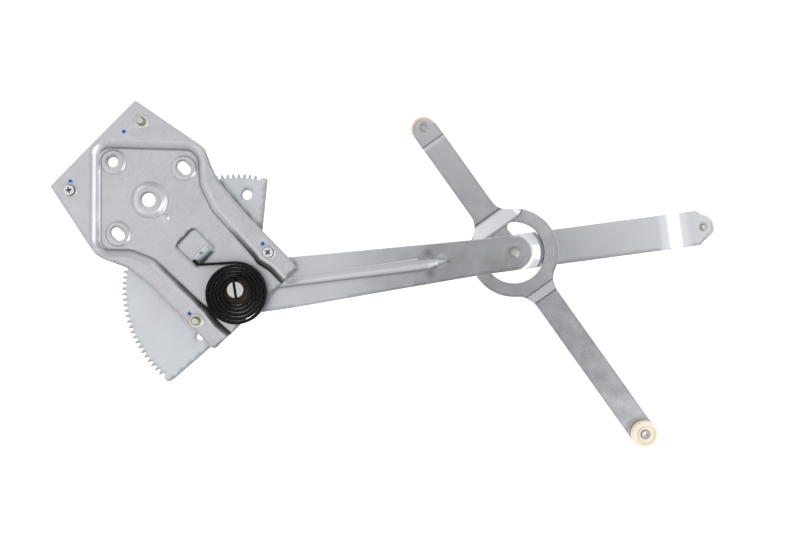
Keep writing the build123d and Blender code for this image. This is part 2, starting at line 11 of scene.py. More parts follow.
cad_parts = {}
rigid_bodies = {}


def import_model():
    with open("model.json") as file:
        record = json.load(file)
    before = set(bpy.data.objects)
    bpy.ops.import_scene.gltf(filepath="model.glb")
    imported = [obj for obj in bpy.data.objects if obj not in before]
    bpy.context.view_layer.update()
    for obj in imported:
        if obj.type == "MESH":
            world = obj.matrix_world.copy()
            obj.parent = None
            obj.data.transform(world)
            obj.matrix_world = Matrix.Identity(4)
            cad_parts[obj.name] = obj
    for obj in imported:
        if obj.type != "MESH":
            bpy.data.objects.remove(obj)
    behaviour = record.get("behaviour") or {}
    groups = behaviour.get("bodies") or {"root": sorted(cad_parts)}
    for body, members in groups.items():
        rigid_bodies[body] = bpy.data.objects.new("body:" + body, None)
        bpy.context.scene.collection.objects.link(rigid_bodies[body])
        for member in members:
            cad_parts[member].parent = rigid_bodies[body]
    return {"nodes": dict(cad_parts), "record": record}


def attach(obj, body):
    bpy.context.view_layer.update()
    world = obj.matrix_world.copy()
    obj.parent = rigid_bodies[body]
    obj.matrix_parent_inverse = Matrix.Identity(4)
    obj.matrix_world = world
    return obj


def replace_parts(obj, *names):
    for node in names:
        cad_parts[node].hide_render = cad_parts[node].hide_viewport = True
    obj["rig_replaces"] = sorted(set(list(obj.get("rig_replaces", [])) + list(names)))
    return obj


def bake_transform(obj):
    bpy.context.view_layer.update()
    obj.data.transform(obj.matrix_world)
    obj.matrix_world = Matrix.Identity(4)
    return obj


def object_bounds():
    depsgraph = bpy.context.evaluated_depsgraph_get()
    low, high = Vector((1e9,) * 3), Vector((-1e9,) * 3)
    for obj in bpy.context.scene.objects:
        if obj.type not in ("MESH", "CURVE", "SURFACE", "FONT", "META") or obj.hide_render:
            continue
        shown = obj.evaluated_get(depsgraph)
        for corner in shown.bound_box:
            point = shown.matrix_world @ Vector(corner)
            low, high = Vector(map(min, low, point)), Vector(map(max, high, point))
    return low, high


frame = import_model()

cad_lo, cad_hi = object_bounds()
MM = 0.001

# ------------------------------------------------------------------ main sizes, mm
PIVOT = (66.5, -68.5)
ARM_ANGLE, CROSS_ANGLE = 7.6, 125.5
L_CROSS, L_LIFT, L_UP, L_LOW = 283.8, 483.8, 158.8, 226.0
C = (PIVOT[0] + L_CROSS * cos(radians(ARM_ANGLE)), PIVOT[1] + L_CROSS * sin(radians(ARM_ANGLE)))
R = (PIVOT[0] + L_LIFT * cos(radians(ARM_ANGLE)), PIVOT[1] + L_LIFT * sin(radians(ARM_ANGLE)))
U = (C[0] + L_UP * cos(radians(CROSS_ANGLE)), C[1] + L_UP * sin(radians(CROSS_ANGLE)))
D = (C[0] - L_LOW * cos(radians(CROSS_ANGLE)), C[1] - L_LOW * sin(radians(CROSS_ANGLE)))
STUD_A, STUD_D, SCREW_B, SCREW_C = (-27.3, 99.5), (27.3, -99.5), (-99.0, 31.0), (99.0, -31.0)

# ------------------------------------------------------------------ camera
cam_data = bpy.data.cameras.new("camera")
cam_data.lens = 45.0
cam_data.sensor_width = 36.0
cam_data.clip_start = 0.05
cam_data.clip_end = 20
cam = bpy.data.objects.new("camera", cam_data)
bpy.context.scene.collection.objects.link(cam)
cam.location = (0.2308, -0.0452, 1.0)
cam.rotation_euler = (0, 0, 0)
bpy.context.scene.camera = cam


# ------------------------------------------------------------------ materials
def new_mat(name):
    m = bpy.data.materials.new(name)
    m.use_nodes = True
    nt = m.node_tree
    b = nt.nodes["Principled BSDF"]
    return m, nt, b


def node(nt, kind, **values):
    n = nt.nodes.new(kind)
    for k, v in values.items():
        if k.startswith("in_"):
            n.inputs[k[3:].replace("_", " ")].default_value = v
        else:
            setattr(n, k, v)
    return n


def ramp(nt, src, stops):
    r = nt.nodes.new("ShaderNodeValToRGB")
    e = r.color_ramp.elements
    while len(e) < len(stops):
        e.new(0.5)
    for i, (p, c) in enumerate(stops):
        e[i].position = p
        e[i].color = (*c, 1) if len(c) == 3 else c
    nt.links.new(src, r.inputs[0])
    return r.outputs[0]


def value_ramp(nt, src, stops):
    return ramp(nt, src, [(p, (v, v, v)) for p, v in stops])


def coords(nt, scale=(1, 1, 1), rot=(0, 0, 0), kind="POINT", at=(0, 0, 0)):
    tc = nt.nodes.new("ShaderNodeTexCoord")
    mp = nt.nodes.new("ShaderNodeMapping")
    mp.vector_type = kind
    mp.inputs["Location"].default_value = at
    mp.inputs["Scale"].default_value = scale
    mp.inputs["Rotation"].default_value = rot
    nt.links.new(tc.outputs["Object"], mp.inputs["Vector"])
    return mp.outputs[0]


def noise(nt, vec, scale, detail=3.0, rough=0.5, dist=0.0):
    n = node(nt, "ShaderNodeTexNoise")
    n.inputs["Scale"].default_value = scale
    n.inputs["Detail"].default_value = detail
    n.inputs["Roughness"].default_value = rough
    n.inputs["Distortion"].default_value = dist
    nt.links.new(vec, n.inputs["Vector"])
    return n.outputs["Fac"]


def mix(nt, fac, a, b, kind="RGBA", blend="MIX"):
    m = nt.nodes.new("ShaderNodeMix")
    m.data_type = kind
    if kind == "RGBA":
        m.blend_type = blend
    idx = {"RGBA": (6, 7, 2), "FLOAT": (2, 3, 0)}[kind]
    for s, v in ((m.inputs[0], fac), (m.inputs[idx[0]], a), (m.inputs[idx[1]], b)):
        if hasattr(v, "links"):
            nt.links.new(v, s)
        else:
            s.default_value = v if not isinstance(v, tuple) else ((*v, 1) if len(v) == 3 else v)
    return m.outputs[idx[2]]


def bump(nt, b, height, strength, dist):
    n = nt.nodes.new("ShaderNodeBump")
    n.inputs["Strength"].default_value = strength
    n.inputs["Distance"].default_value = dist
    nt.links.new(height, n.inputs["Height"])
    nt.links.new(n.outputs[0], b.inputs["Normal"])
    return n


def darkened(nt, col):
    """Darkens a colour by the mesh's painted shade values, painted shade laid in creases, along edges and beside other
    parts; meshes without them stay as they are.
    """
    at = nt.nodes.new("ShaderNodeAttribute")
    at.attribute_name = "painted_shade"
    keep = node(nt, "ShaderNodeMath", operation="SUBTRACT", use_clamp=True)
    keep.inputs[0].default_value = 1.0
    nt.links.new(at.outputs["Fac"], keep.inputs[1])
    return mix(nt, 1.0, col, keep.outputs[0], blend="MULTIPLY")


def zinc(name, colour, rough=(0.34, 0.46), metallic=0.9, spangle=0.05, brush=None, tint=None, bump_s=0.12,
         cells=True, side=None, cloud_scale=26):
    """Zinc-plated steel: fine grain, faint cloudy passivation, optional brushing along
    an angle in degrees, an optional second tint in broad patches and an optional other
    colour on the side of smaller X (from, to, colour)."""
    m, nt, b = new_mat(name)
    v = coords(nt)
    grain = noise(nt, v, 900, 2.0, 0.6)
    cloud = noise(nt, v, cloud_scale, 4.0, 0.6, 0.4)
    lo = tuple(c * (1 - spangle) for c in colour)
    hi = tuple(min(1, c * (1 + spangle)) for c in colour)
    col = ramp(nt, cloud, [(0.3, lo), (0.7, hi)])
    if side is not None:
        tc = nt.nodes.new("ShaderNodeTexCoord")
        sp = nt.nodes.new("ShaderNodeSeparateXYZ")
        nt.links.new(tc.outputs["Object"], sp.inputs[0])
        mr = node(nt, "ShaderNodeMapRange", interpolation_type="SMOOTHSTEP")
        nt.links.new(sp.outputs["X"], mr.inputs["Value"])
        mr.inputs["From Min"].default_value = side[1] * MM
        mr.inputs["From Max"].default_value = side[0] * MM
        col = mix(nt, mr.outputs["Result"], col, side[2])
    if cells:
        vc = node(nt, "ShaderNodeTexVoronoi")
        vc.inputs["Scale"].default_value = 420
        nt.links.new(v, vc.inputs["Vector"])
        col = mix(nt, 1.0, col, value_ramp(nt, vc.outputs["Color"], [(0.0, 0.93), (1.0, 1.04)]), blend="MULTIPLY")
    if tint is not None:
        patch = noise(nt, v, 11, 3.0, 0.55, 1.0)
        fac = value_ramp(nt, patch, [(0.42, 0.0), (0.66, 0.65)])
        col = mix(nt, fac, col, tint)
    height = grain
    if brush is not None:
        vb = coords(nt, (1 / 11, 1 / 1400, 1 / 20), (0, 0, radians(brush)), "TEXTURE", (0.0213, 0.0037, 0.001))
        lines = noise(nt, vb, 1.0, 5.0, 0.65)
        height = mix(nt, 0.75, grain, lines, "FLOAT")
        shade = value_ramp(nt, lines, [(0.25, 0.97), (0.75, 1.03)])
        col = mix(nt, 1.0, col, shade, blend="MULTIPLY")
    nt.links.new(darkened(nt, col), b.inputs["Base Color"])
    rr = value_ramp(nt, noise(nt, v, 60, 3.0, 0.6), [(0.3, rough[0]), (0.7, rough[1])])
    if side is not None:
        rr = mix(nt, mr.outputs["Result"], rr, (0.32, 0.32, 0.32))
    nt.links.new(rr, b.inputs["Roughness"])
    b.inputs["Metallic"].default_value = metallic
    bump(nt, b, height, bump_s, 0.0002)
    return m


M = {}
M["zinc_plate"] = zinc("zinc_plate", (0.72, 0.72, 0.745), (0.29, 0.38), 0.88, 0.03, tint=(0.72, 0.70, 0.74))
M["sector_zinc"] = zinc("sector_zinc", (0.76, 0.79, 0.825), (0.28, 0.36), 0.80, 0.012, cells=False, bump_s=0.06,
                        tint=(0.76, 0.76, 0.80))
# the lift arm's end towards the pivot gets a lighter bluish colour: partly the zinc's own tint there, partly painted
# light for the brighter inclined part
M["arm_zinc"] = zinc("arm_zinc", (0.735, 0.74, 0.765), (0.16, 0.22), 0.95, 0.012, brush=ARM_ANGLE, bump_s=0.04, cells=False,
                     side=(150, 262, (0.79, 0.81, 0.84)))
M["cross_zinc"] = zinc("cross_zinc", (0.73, 0.725, 0.755), (0.17, 0.23), 0.95, 0.012, brush=CROSS_ANGLE, bump_s=0.04, cells=False)
M["tab_zinc"] = zinc("tab_zinc", (0.66, 0.70, 0.73), (0.40, 0.5), 0.25, 0.04, cells=False)
M["bright_zinc"] = zinc("bright_zinc", (0.86, 0.86, 0.865), (0.24, 0.34), 0.7, 0.02, bump_s=0.05, cells=False)
M["turned_steel"] = zinc("turned_steel", (0.71, 0.70, 0.69), (0.34, 0.44), 0.85, 0.04, bump_s=0.10, cells=False, cloud_scale=160)
M["yellow_zinc"] = zinc("yellow_zinc", (0.80, 0.80, 0.70), (0.30, 0.42), 0.75, 0.05, tint=(0.76, 0.77, 0.66), bump_s=0.06, cells=False)
M["bronze"] = zinc("bronze", (0.070, 0.042, 0.026), (0.4, 0.6), 0.5, 0.35, bump_s=0.3, cells=False, cloud_scale=160)


def spring_mat():
    m, nt, b = new_mat("black_spring")
    v = coords(nt)
    n1 = noise(nt, v, 240, 4.0, 0.65)
    col = ramp(nt, n1, [(0.35, (0.003, 0.0026, 0.003)), (0.62, (0.006, 0.005, 0.0055)), (0.76, (0.026, 0.018, 0.014))])
    nt.links.new(darkened(nt, col), b.inputs["Base Color"])
    b.inputs["Metallic"].default_value = 0.0
    b.inputs["Specular IOR Level"].default_value = 0.17
    nt.links.new(value_ramp(nt, noise(nt, v, 500, 3), [(0.3, 0.26), (0.7, 0.46)]), b.inputs["Roughness"])
    bump(nt, b, noise(nt, v, 700, 3.0, 0.7), 0.25, 0.0003)
    return m


def nylon_mat():
    m, nt, b = new_mat("nylon")
    v = coords(nt)
    col = ramp(nt, noise(nt, v, 90, 4.0, 0.55, 0.6), [(0.3, (0.80, 0.70, 0.55)), (0.7, (0.88, 0.80, 0.68))])
    nt.links.new(darkened(nt, col), b.inputs["Base Color"])
    b.inputs["Roughness"].default_value = 0.42
    b.inputs["Subsurface Weight"].default_value = 0.2
    b.inputs["Subsurface Radius"].default_value = (0.004, 0.0025, 0.0012)
    bump(nt, b, noise(nt, v, 800, 2.0), 0.08, 0.0002)
    return m


def paint_mat():
    """Blue marking paint, thick and dark in the middle of a dab and thin towards its rim."""
    m, nt, b = new_mat("blue_paint")
    v = coords(nt)
    at = nt.nodes.new("ShaderNodeAttribute")
    at.attribute_name = "rim"
    wob = node(nt, "ShaderNodeMath", operation="ADD")
    nt.links.new(at.outputs["Fac"], wob.inputs[0])
    nt.links.new(value_ramp(nt, noise(nt, v, 900, 3.0), [(0.3, 0.0), (0.7, 0.16)]), wob.inputs[1])
    col = ramp(nt, wob.outputs[0], [(0.10, (0.012, 0.020, 0.055)), (0.42, (0.030, 0.065, 0.20)), (0.58, (0.20, 0.32, 0.55)),
                                    (0.74, (0.42, 0.53, 0.70)), (1.0, (0.52, 0.56, 0.66))])
    nt.links.new(col, b.inputs["Base Color"])
    b.inputs["Roughness"].default_value = 0.5
    bump(nt, b, noise(nt, v, 1200, 2.0), 0.2, 0.0002)
    return m


M["black_spring"] = spring_mat()
M["nylon"] = nylon_mat()
M["blue_paint"] = paint_mat()


def floor_mat():
    m, nt, b = new_mat("floor")
    v = coords(nt)
    col = ramp(nt, noise(nt, v, 3, 2.0), [(0.3, (0.90, 0.90, 0.90)), (0.7, (0.92, 0.92, 0.92))])
    nt.links.new(col, b.inputs["Base Color"])
    b.inputs["Roughness"].default_value = 0.9
    b.inputs["Emission Color"].default_value = (1, 1, 1, 1)
    b.inputs["Emission Strength"].default_value = 0.5
    return m


# ------------------------------------------------------------------ 2D outlines
def sample_rounded(points, step=0.7, arc_step=0.5, closed=True):
    """Dense points along the corners (x, y, r) with each corner rounded."""
    n = len(points)
    out = []
    segs = []
    for i in range(n):
        x, y, r = points[i]
        if not closed and i in (0, n - 1):
            segs.append(((x, y), None, (x, y), r))
            continue
        ax, ay = points[i - 1][0] - x, points[i - 1][1] - y
        bx, by = points[(i + 1) % n][0] - x, points[(i + 1) % n][1] - y
        la, lb = hypot(ax, ay), hypot(bx, by)
        ax, ay, bx, by = ax / la, ay / la, bx / lb, by / lb
        half = acos(max(-1, min(1, ax * bx + ay * by))) / 2
        if r <= 0 or half > pi / 2 - 1e-4:
            segs.append(((x, y), None, (x, y), 0))
            continue
        cut = r / tan(half)
        mlen = hypot(ax + bx, ay + by)
        d = r / sin(half)
        cx, cy = x + (ax + bx) / mlen * d, y + (ay + by) / mlen * d
        segs.append(((x + ax * cut, y + ay * cut), (cx, cy), (x + bx * cut, y + by * cut), r))
    for i in range(n):
        a, c, b, r = segs[i]
        if c is None:
            out.append(a)
        else:
            a0 = atan2(a[1] - c[1], a[0] - c[0])
            a1 = atan2(b[1] - c[1], b[0] - c[0])
            da = (a1 - a0 + pi) % (2 * pi) - pi
            k = max(2, int(ceil(abs(da) * r / min(arc_step, max(0.12, r * 0.2)))))
            for j in range(k + 1):
                t = a0 + da * j / k
                out.append((c[0] + r * cos(t), c[1] + r * sin(t)))
        if not closed and i == n - 1:
            break
        nxt = segs[(i + 1) % n][0]
        px, py = out[-1]
        ln = hypot(nxt[0] - px, nxt[1] - py)
        k = int(ln / step)
        for j in range(1, k):
            out.append((px + (nxt[0] - px) * j / k, py + (nxt[1] - py) * j / k))
    res = [out[0]]
    for p in out[1:]:
        if hypot(p[0] - res[-1][0], p[1] - res[-1][1]) > 0.02:
            res.append(p)
    if closed and hypot(res[0][0] - res[-1][0], res[0][1] - res[-1][1]) < 0.02:
        res.pop()
    return np.array(res)


def circle(c, r, step=0.6, cw=False):
    n = max(16, int(2 * pi * r / step))
    a = np.arange(n) * 2 * pi / n
    if cw:
        a = -a
    return np.stack([c[0] + r * np.cos(a), c[1] + r * np.sin(a)], 1)


def slot(c, r, length, angle, step=0.6):
    a = radians(angle)
    half = length / 2 - r
    pts = []
    for s, t in ((-half - r, r), (half + r, r), (half + r, -r), (-half - r, -r)):
        pts.append((c[0] + s * cos(a) - t * sin(a), c[1] + s * sin(a) + t * cos(a), r - 1e-3))
    return sample_rounded(pts, step)


def area(p):
    x, y = p[:, 0], p[:, 1]
    return 0.5 * np.sum(x * np.roll(y, -1) - y * np.roll(x, -1))


def orient(p, ccw=True):
    return p if (area(p) > 0) == ccw else p[::-1].copy()


def inward(p):
    """Unit vectors to the left of travel at each corner of a closed loop, mitred."""
    d1 = p - np.roll(p, 1, 0)
    d2 = np.roll(p, -1, 0) - p
    d1 /= np.linalg.norm(d1, axis=1)[:, None] + 1e-12
    d2 /= np.linalg.norm(d2, axis=1)[:, None] + 1e-12
    n1 = np.stack([-d1[:, 1], d1[:, 0]], 1)
    n2 = np.stack([-d2[:, 1], d2[:, 0]], 1)
    k = 1 + np.sum(n1 * n2, 1)
    return (n1 + n2) / np.maximum(k, 0.6)[:, None]


def inside(poly, pts):
    x, y = pts[:, 0], pts[:, 1]
    res = np.zeros(len(pts), bool)
    x0, y0 = poly[:, 0], poly[:, 1]
    x1, y1 = np.roll(x0, -1), np.roll(y0, -1)
    for a, b, c, d in zip(x0, y0, x1, y1):
        if b == d:
            continue
        hit = ((b > y) != (d > y)) & (x < (c - a) * (y - b) / (d - b) + a)
        res ^= hit
    return res


_trees = {}


def seg_dist(poly, pts, closed=True):
    """Distance from each point to a polyline."""
    key = (round(float(poly.sum()), 7), round(float(poly[0, 0]), 7), len(poly), closed)
    if key not in _trees:
        a = poly
        b = np.roll(poly, -1, 0)
        if not closed:
            a, b = a[:-1], b[:-1]
        dense = []
        for p0, p1 in zip(a, b):
            k = max(1, int(ceil(hypot(*(p1 - p0)) / 0.4)))
            for j in range(k):
                dense.append(p0 + (p1 - p0) * j / k)
        if not closed:
            dense.append(poly[-1])
        dense = np.array(dense)
        tree = KDTree(len(dense))
        for i, d in enumerate(dense):
            tree.insert((d[0], d[1], 0.0), i)
        tree.balance()
        _trees[key] = (tree, dense)
    tree, dense = _trees[key]
    n = len(dense)
    idx = np.fromiter((tree.find((x, y, 0.0))[1] for x, y in pts), int, len(pts))
    best = np.full(len(pts), 1e18)
    for o in (-1, 0):
        i0, i1 = idx + o, idx + o + 1
        if closed:
            i0, i1 = i0 % n, i1 % n
        else:
            i0, i1 = np.clip(i0, 0, n - 1), np.clip(i1, 0, n - 1)
        p0, p1 = dense[i0], dense[i1]
        ab = p1 - p0
        ap = pts - p0
        t = np.clip(np.sum(ap * ab, 1) / (np.sum(ab * ab, 1) + 1e-12), 0, 1)
        dd = ap - t[:, None] * ab
        best = np.minimum(best, np.sum(dd * dd, 1))
    return np.sqrt(best)


# ------------------------------------------------------------------ mesh helpers
def put_values(me, attribute, values):
    at = me.attributes.new(attribute, "FLOAT", "POINT")
    at.data.foreach_set("value", np.asarray(values, dtype=np.float32))


def make_object(name, verts, faces, mat, body, smooth=True, angle=None, values=None):
    me = bpy.data.meshes.new(name)
    me.from_pydata([tuple(v) for v in verts], [], [tuple(int(i) for i in f) for f in faces])
    me.validate()
    me.update()
    o = bpy.data.objects.new(name, me)
    bpy.context.scene.collection.objects.link(o)
    if smooth:
        me.polygons.foreach_set("use_smooth", [True] * len(me.polygons))
        if angle is not None:
            me.set_sharp_from_angle(angle=radians(angle))
    # values: painted shade for each vertex, which the materials multiply into their colour
    if values is not None:
        put_values(me, "painted_shade", values)
    me.materials.append(mat)
    if body is not None:
        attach(o, body)
    return o


def local_to_row(origin, angle):
    a = radians(angle)
    ca, sa = cos(a), sin(a)

    def f(p):
        q = p.copy()
        q[:, 0] = origin[0] + ca * p[:, 0] - sa * p[:, 1]
        q[:, 1] = origin[1] + sa * p[:, 0] + ca * p[:, 1]
        return q
    return f


def sheet(name, outer, holes, zfun, thick, pitch, mat, body, feats=(), edge=0.35, front=None, back=None, to_row=None, keep_off=(),
          shade=None, edge_dark=0.45, rim=0.35):
    """Pressed sheet as one closed mesh.  zfun gives the front surface's height; front and
    back give heights added on each side for a rib; feats are rows of points that the
    mesh follows; keep_off are functions that say where grid points are left out; shade
    gives the painted shade on the front at each point, edge_dark how dark the cut edge is
    (partly the sheared edge's own colour, partly painted shade) and rim the painted shade
    line along the top edges that face -Y and +X."""
    loops = [orient(outer, True)] + [orient(h, False) for h in holes]
    e2 = edge * 2.4
    rows2 = [p + inward(p) * e2 for p in loops]

    def surf(q):
        h = 0.02
        z = zfun(q)
        zx = (zfun(q + [h, 0]) - z) / h
        zy = (zfun(q + [0, h]) - z) / h
        n = np.stack([-zx, -zy, np.ones(len(q))], 1)
        n /= np.linalg.norm(n, axis=1)[:, None]
        return np.column_stack([q, z]), n

    # interior points
    lo, hi = loops[0].min(0), loops[0].max(0)
    ny = int((hi[1] - lo[1]) / (pitch * 0.866)) + 1
    gx, gy = [], []
    for j in range(ny + 1):
        y = lo[1] + j * pitch * 0.866
        xs = np.arange(lo[0] + (j % 2) * pitch / 2, hi[0], pitch)
        gx.append(xs)
        gy.append(np.full(len(xs), y))
    grid = np.column_stack([np.concatenate(gx), np.concatenate(gy)])
    ok = inside(rows2[0], grid)
    for r in rows2[1:]:
        ok &= ~inside(r, grid)
    grid = grid[ok]
    for r in rows2:
        grid = grid[seg_dist(r, grid) > pitch * 0.55]
    fpts, fedges = [], []
    for f in feats:
        closed, pts = f
        ok = inside(rows2[0], pts)
        for r in rows2[1:]:
            ok &= ~inside(r, pts)
        idx = np.where(ok)[0]
        if len(idx):
            dmin = np.full(len(pts), 1e9)
            for r in rows2:
                dmin[idx] = np.minimum(dmin[idx], seg_dist(r, pts[idx]))
            ok &= dmin > 0.45
        last = None
        first = None
        for i in range(len(pts)):
            if ok[i]:
                fpts.append(pts[i])
                if last is not None:
                    fedges.append((last, len(fpts) - 1))
                last = len(fpts) - 1
                if i == 0:
                    first = last
            else:
                last = None
        if closed and first is not None and last is not None and ok[-1]:
            fedges.append((last, first))
    if fpts:
        fp = np.array(fpts)
        grid_ok = np.ones(len(grid), bool)
        for i in range(0, len(grid), 1500):
            g = grid[i:i + 1500]
            d = np.sqrt(np.min(((g[:, None] - fp[None]) ** 2).sum(2), 1))
            grid_ok[i:i + 1500] = d > pitch * 0.6
        grid = grid[grid_ok]
    for test in keep_off:
        grid = grid[~test(grid)]
    verts, edges = [], []
    for r in rows2:
        s = len(verts)
        verts += [Vector((float(x), float(y))) for x, y in r]
        edges += [(s + i, s + (i + 1) % len(r)) for i in range(len(r))]
    nloop = len(verts)
    if fpts:
        s = len(verts)
        verts += [Vector((float(x), float(y))) for x, y in fpts]
        edges += [(s + a, s + b) for a, b in fedges]
    verts += [Vector((float(x), float(y))) for x, y in grid]
    res = delaunay_2d_cdt(verts, edges, [], 0, 1e-6)
    v2 = np.array([(v.x, v.y) for v in res[0]])
    tris = np.array([list(f) for f in res[2]])
    orig = res[3]
    cen = v2[tris].mean(1)
    ok = inside(rows2[0], cen)
    for r in rows2[1:]:
        ok &= ~inside(r, cen)
    tris = tris[ok]
    # three points on one straight edge make no face
    q0, q1, q2 = v2[tris[:, 0]], v2[tris[:, 1]], v2[tris[:, 2]]
    size = np.abs((q1 - q0)[:, 0] * (q2 - q0)[:, 1] - (q1 - q0)[:, 1] * (q2 - q0)[:, 0])
    longest = np.maximum(np.maximum(((q1 - q0) ** 2).sum(1), ((q2 - q0) ** 2).sum(1)), ((q2 - q1) ** 2).sum(1))
    tris = tris[size > 1e-4 * longest]
    # where the loop vertices went
    where = {}
    for i, src in enumerate(orig):
        for s_ in src:
            where[s_] = i
    P, N = surf(v2)
    nv = len(v2)
    fr = P.copy()
    if front is not None:
        fr[:, 2] += front(v2)
    bk = P - N * thick
    if back is not None:
        bk[:, 2] += back(v2)
    allv = [fr, bk]
    dark = [shade(v2) if shade is not None else np.zeros(nv), np.zeros(nv)]
    faces = []
    a = np.cross(fr[tris[:, 1]] - fr[tris[:, 0]], fr[tris[:, 2]] - fr[tris[:, 0]])[:, 2]
    tris[a < 0] = tris[a < 0][:, ::-1]
    faces += [tuple(t) for t in tris]
    faces += [tuple(t[::-1] + nv) for t in tris]
    total = 2 * nv
    base = 0
    for li, p in enumerate(loops):
        n = len(p)
        top = np.array([where[base + i] for i in range(n)])
        base += n
        inn = inward(p)
        amount = rim(li) if callable(rim) else rim
        # painted shade line along the top edge, darkest where the edge faces -Y and +X
        line = amount * np.clip(0.30 + 0.70 * (-inn[:, 0] * 0.6 + inn[:, 1] * 0.8), 0, 1)
        if to_row is not None:
            o2 = to_row(np.array([[0.0, 0.0, 0.0], [1.0, 0.0, 0.0], [0.0, 1.0, 0.0]]))
            ex, ey = o2[1] - o2[0], o2[2] - o2[0]
            wx = -(inn[:, 0] * ex[0] + inn[:, 1] * ey[0])
            wy = -(inn[:, 0] * ex[1] + inn[:, 1] * ey[1])
            line = amount * np.clip(0.30 + 0.70 * (wx * 0.6 - wy * 0.8), 0, 1)
        dark[0][top] = np.maximum(dark[0][top], line)
        rings = [top]
        sect = [(edge, 0.0), (edge * 0.55, edge * 0.09), (edge * 0.2, edge * 0.36), (0.0, edge)]
        sect += [(i_, thick - d_) for i_, d_ in sect[::-1]]
        for ins, dep in sect:
            q = p + inn * ins
            S, Nn = surf(q)
            pos = S - Nn * dep
            if front is not None:
                wgt = 1 - dep / thick
                pos[:, 2] += front(q) * wgt
            if back is not None:
                pos[:, 2] += back(q) * (dep / thick)
            allv.append(pos)
            own = np.maximum(shade(q) if shade is not None else np.zeros(n), line)
            # the cut edge darkens: partly the sheared edge's own colour, partly painted shade
            amount = edge_dark * min(1.0, dep / edge) if dep < thick - 1e-6 else 0.0
            dark.append(own * (1 - dep / thick) * (1 - amount) + amount)
            rings.append(np.arange(total, total + n))
            total += n
        rings.append(top + nv)
        for r0, r1 in zip(rings[:-1], rings[1:]):
            for i in range(n):
                j = (i + 1) % n
                # outside of the material is to the right of travel
                faces.append((r0[i], r1[i], r1[j], r0[j]))
    V = np.concatenate(allv)
    W = np.concatenate(dark)
    used = np.zeros(len(V), bool)
    for f in faces:
        for i in f:
            used[i] = True
    remap = -np.ones(len(V), int)
    remap[used] = np.arange(used.sum())
    V, W = V[used], W[used]
    faces = [tuple(remap[list(f)]) for f in faces]
    if to_row is not None:
        V = to_row(V)
    return make_object(name, V * MM, faces, mat, body, smooth=True, angle=50, values=W)


def blend_step(u, w):
    """Integral of a smoothed step: 0 before -w, u after +w, quadratic between."""
    return np.where(u < -w, 0.0, np.where(u > w, u, (u + w) ** 2 / (4 * w)))


def bends(x, z0, rows):
    """Height along x: z0 plus bends (position, change of slope, half width)."""
    z = np.full(len(x), float(z0))
    for at, ds, w in rows:
        z += ds * blend_step(x - at, w)
    return z


def grid_piece(name, rings, mat, body, angle=40, values=None, attribute="painted_shade", closed=False):
    """Closed piece from rings of points, each a (n, 3) array in mm or one point on the axis."""
    verts, faces, rows, vals = [], [], [], []
    for i, ring in enumerate(rings):
        ring = np.atleast_2d(np.asarray(ring, float))
        rows.append(range(len(verts), len(verts) + len(ring)))
        verts.extend((ring * MM).tolist())
        if values is not None:
            vals.extend(np.broadcast_to(np.asarray(values[i], float), (len(ring),)).tolist())
    pairs = list(zip(rows[:-1], rows[1:]))
    if closed:
        pairs.append((rows[-1], rows[0]))
    for a, b in pairs:
        n = max(len(a), len(b))
        if n == 1:
            continue
        for k in range(n):
            k2 = (k + 1) % n
            if len(a) == 1:
                faces.append((a[0], b[k2], b[k]))
            elif len(b) == 1:
                faces.append((a[k], a[k2], b[0]))
            else:
                faces.append((a[k], a[k2], b[k2], b[k]))
    o = make_object(name, verts, faces, mat, body, True, angle)
    bm = bmesh.new()
    bm.from_mesh(o.data)
    bmesh.ops.recalc_face_normals(bm, faces=bm.faces)
    bm.to_mesh(o.data)
    bm.free()
    if values is not None:
        put_values(o.data, attribute, vals)
    return o


def lathe(name, c, profile, mat, body, seg=64, angle=40, values=None):
    """Turned piece about the vertical through c; profile is (r, z) from bottom to top,
    starting and ending on the axis or closed on itself."""
    t = np.arange(seg) * 2 * pi / seg
    rings = []
    for r, z in profile:
        if r < 1e-6:
            rings.append([(c[0], c[1], z)])
        else:
            rings.append(np.column_stack([c[0] + r * np.cos(t), c[1] + r * np.sin(t), np.full(seg, z)]))
    return grid_piece(name, rings, mat, body, angle, values, closed=profile[0][0] > 1e-6)


def joined(name, objects, body):
    """Several meshes of one piece put together as one object."""
    bm = bmesh.new()
    for o in objects:
        bm.from_mesh(o.data)
    me = bpy.data.meshes.new(name)
    bm.to_mesh(me)
    bm.free()
    me.materials.append(objects[0].data.materials[0])
    out = bpy.data.objects.new(name, me)
    bpy.context.scene.collection.objects.link(out)
    for o in objects:
        bpy.data.objects.remove(o, do_unlink=True)
    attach(out, body)
    return out


def round_profile(pts, r=0.3, n=3):
    """Rounds the corners of an (r, z) profile."""
    out = [pts[0]]
    for i in range(1, len(pts) - 1):
        p0, p1, p2 = np.array(pts[i - 1], float), np.array(pts[i], float), np.array(pts[i + 1], float)
        a, b = p0 - p1, p2 - p1
        la, lb = np.linalg.norm(a), np.linalg.norm(b)
        rr = min(r, la * 0.45, lb * 0.45)
        q0, q2 = p1 + a / la * rr, p1 + b / lb * rr
        for k in range(n + 1):
            t = k / n
            out.append(tuple((1 - t) ** 2 * q0 + 2 * t * (1 - t) * p1 + t * t * q2))
    out.append(pts[-1])
    return out


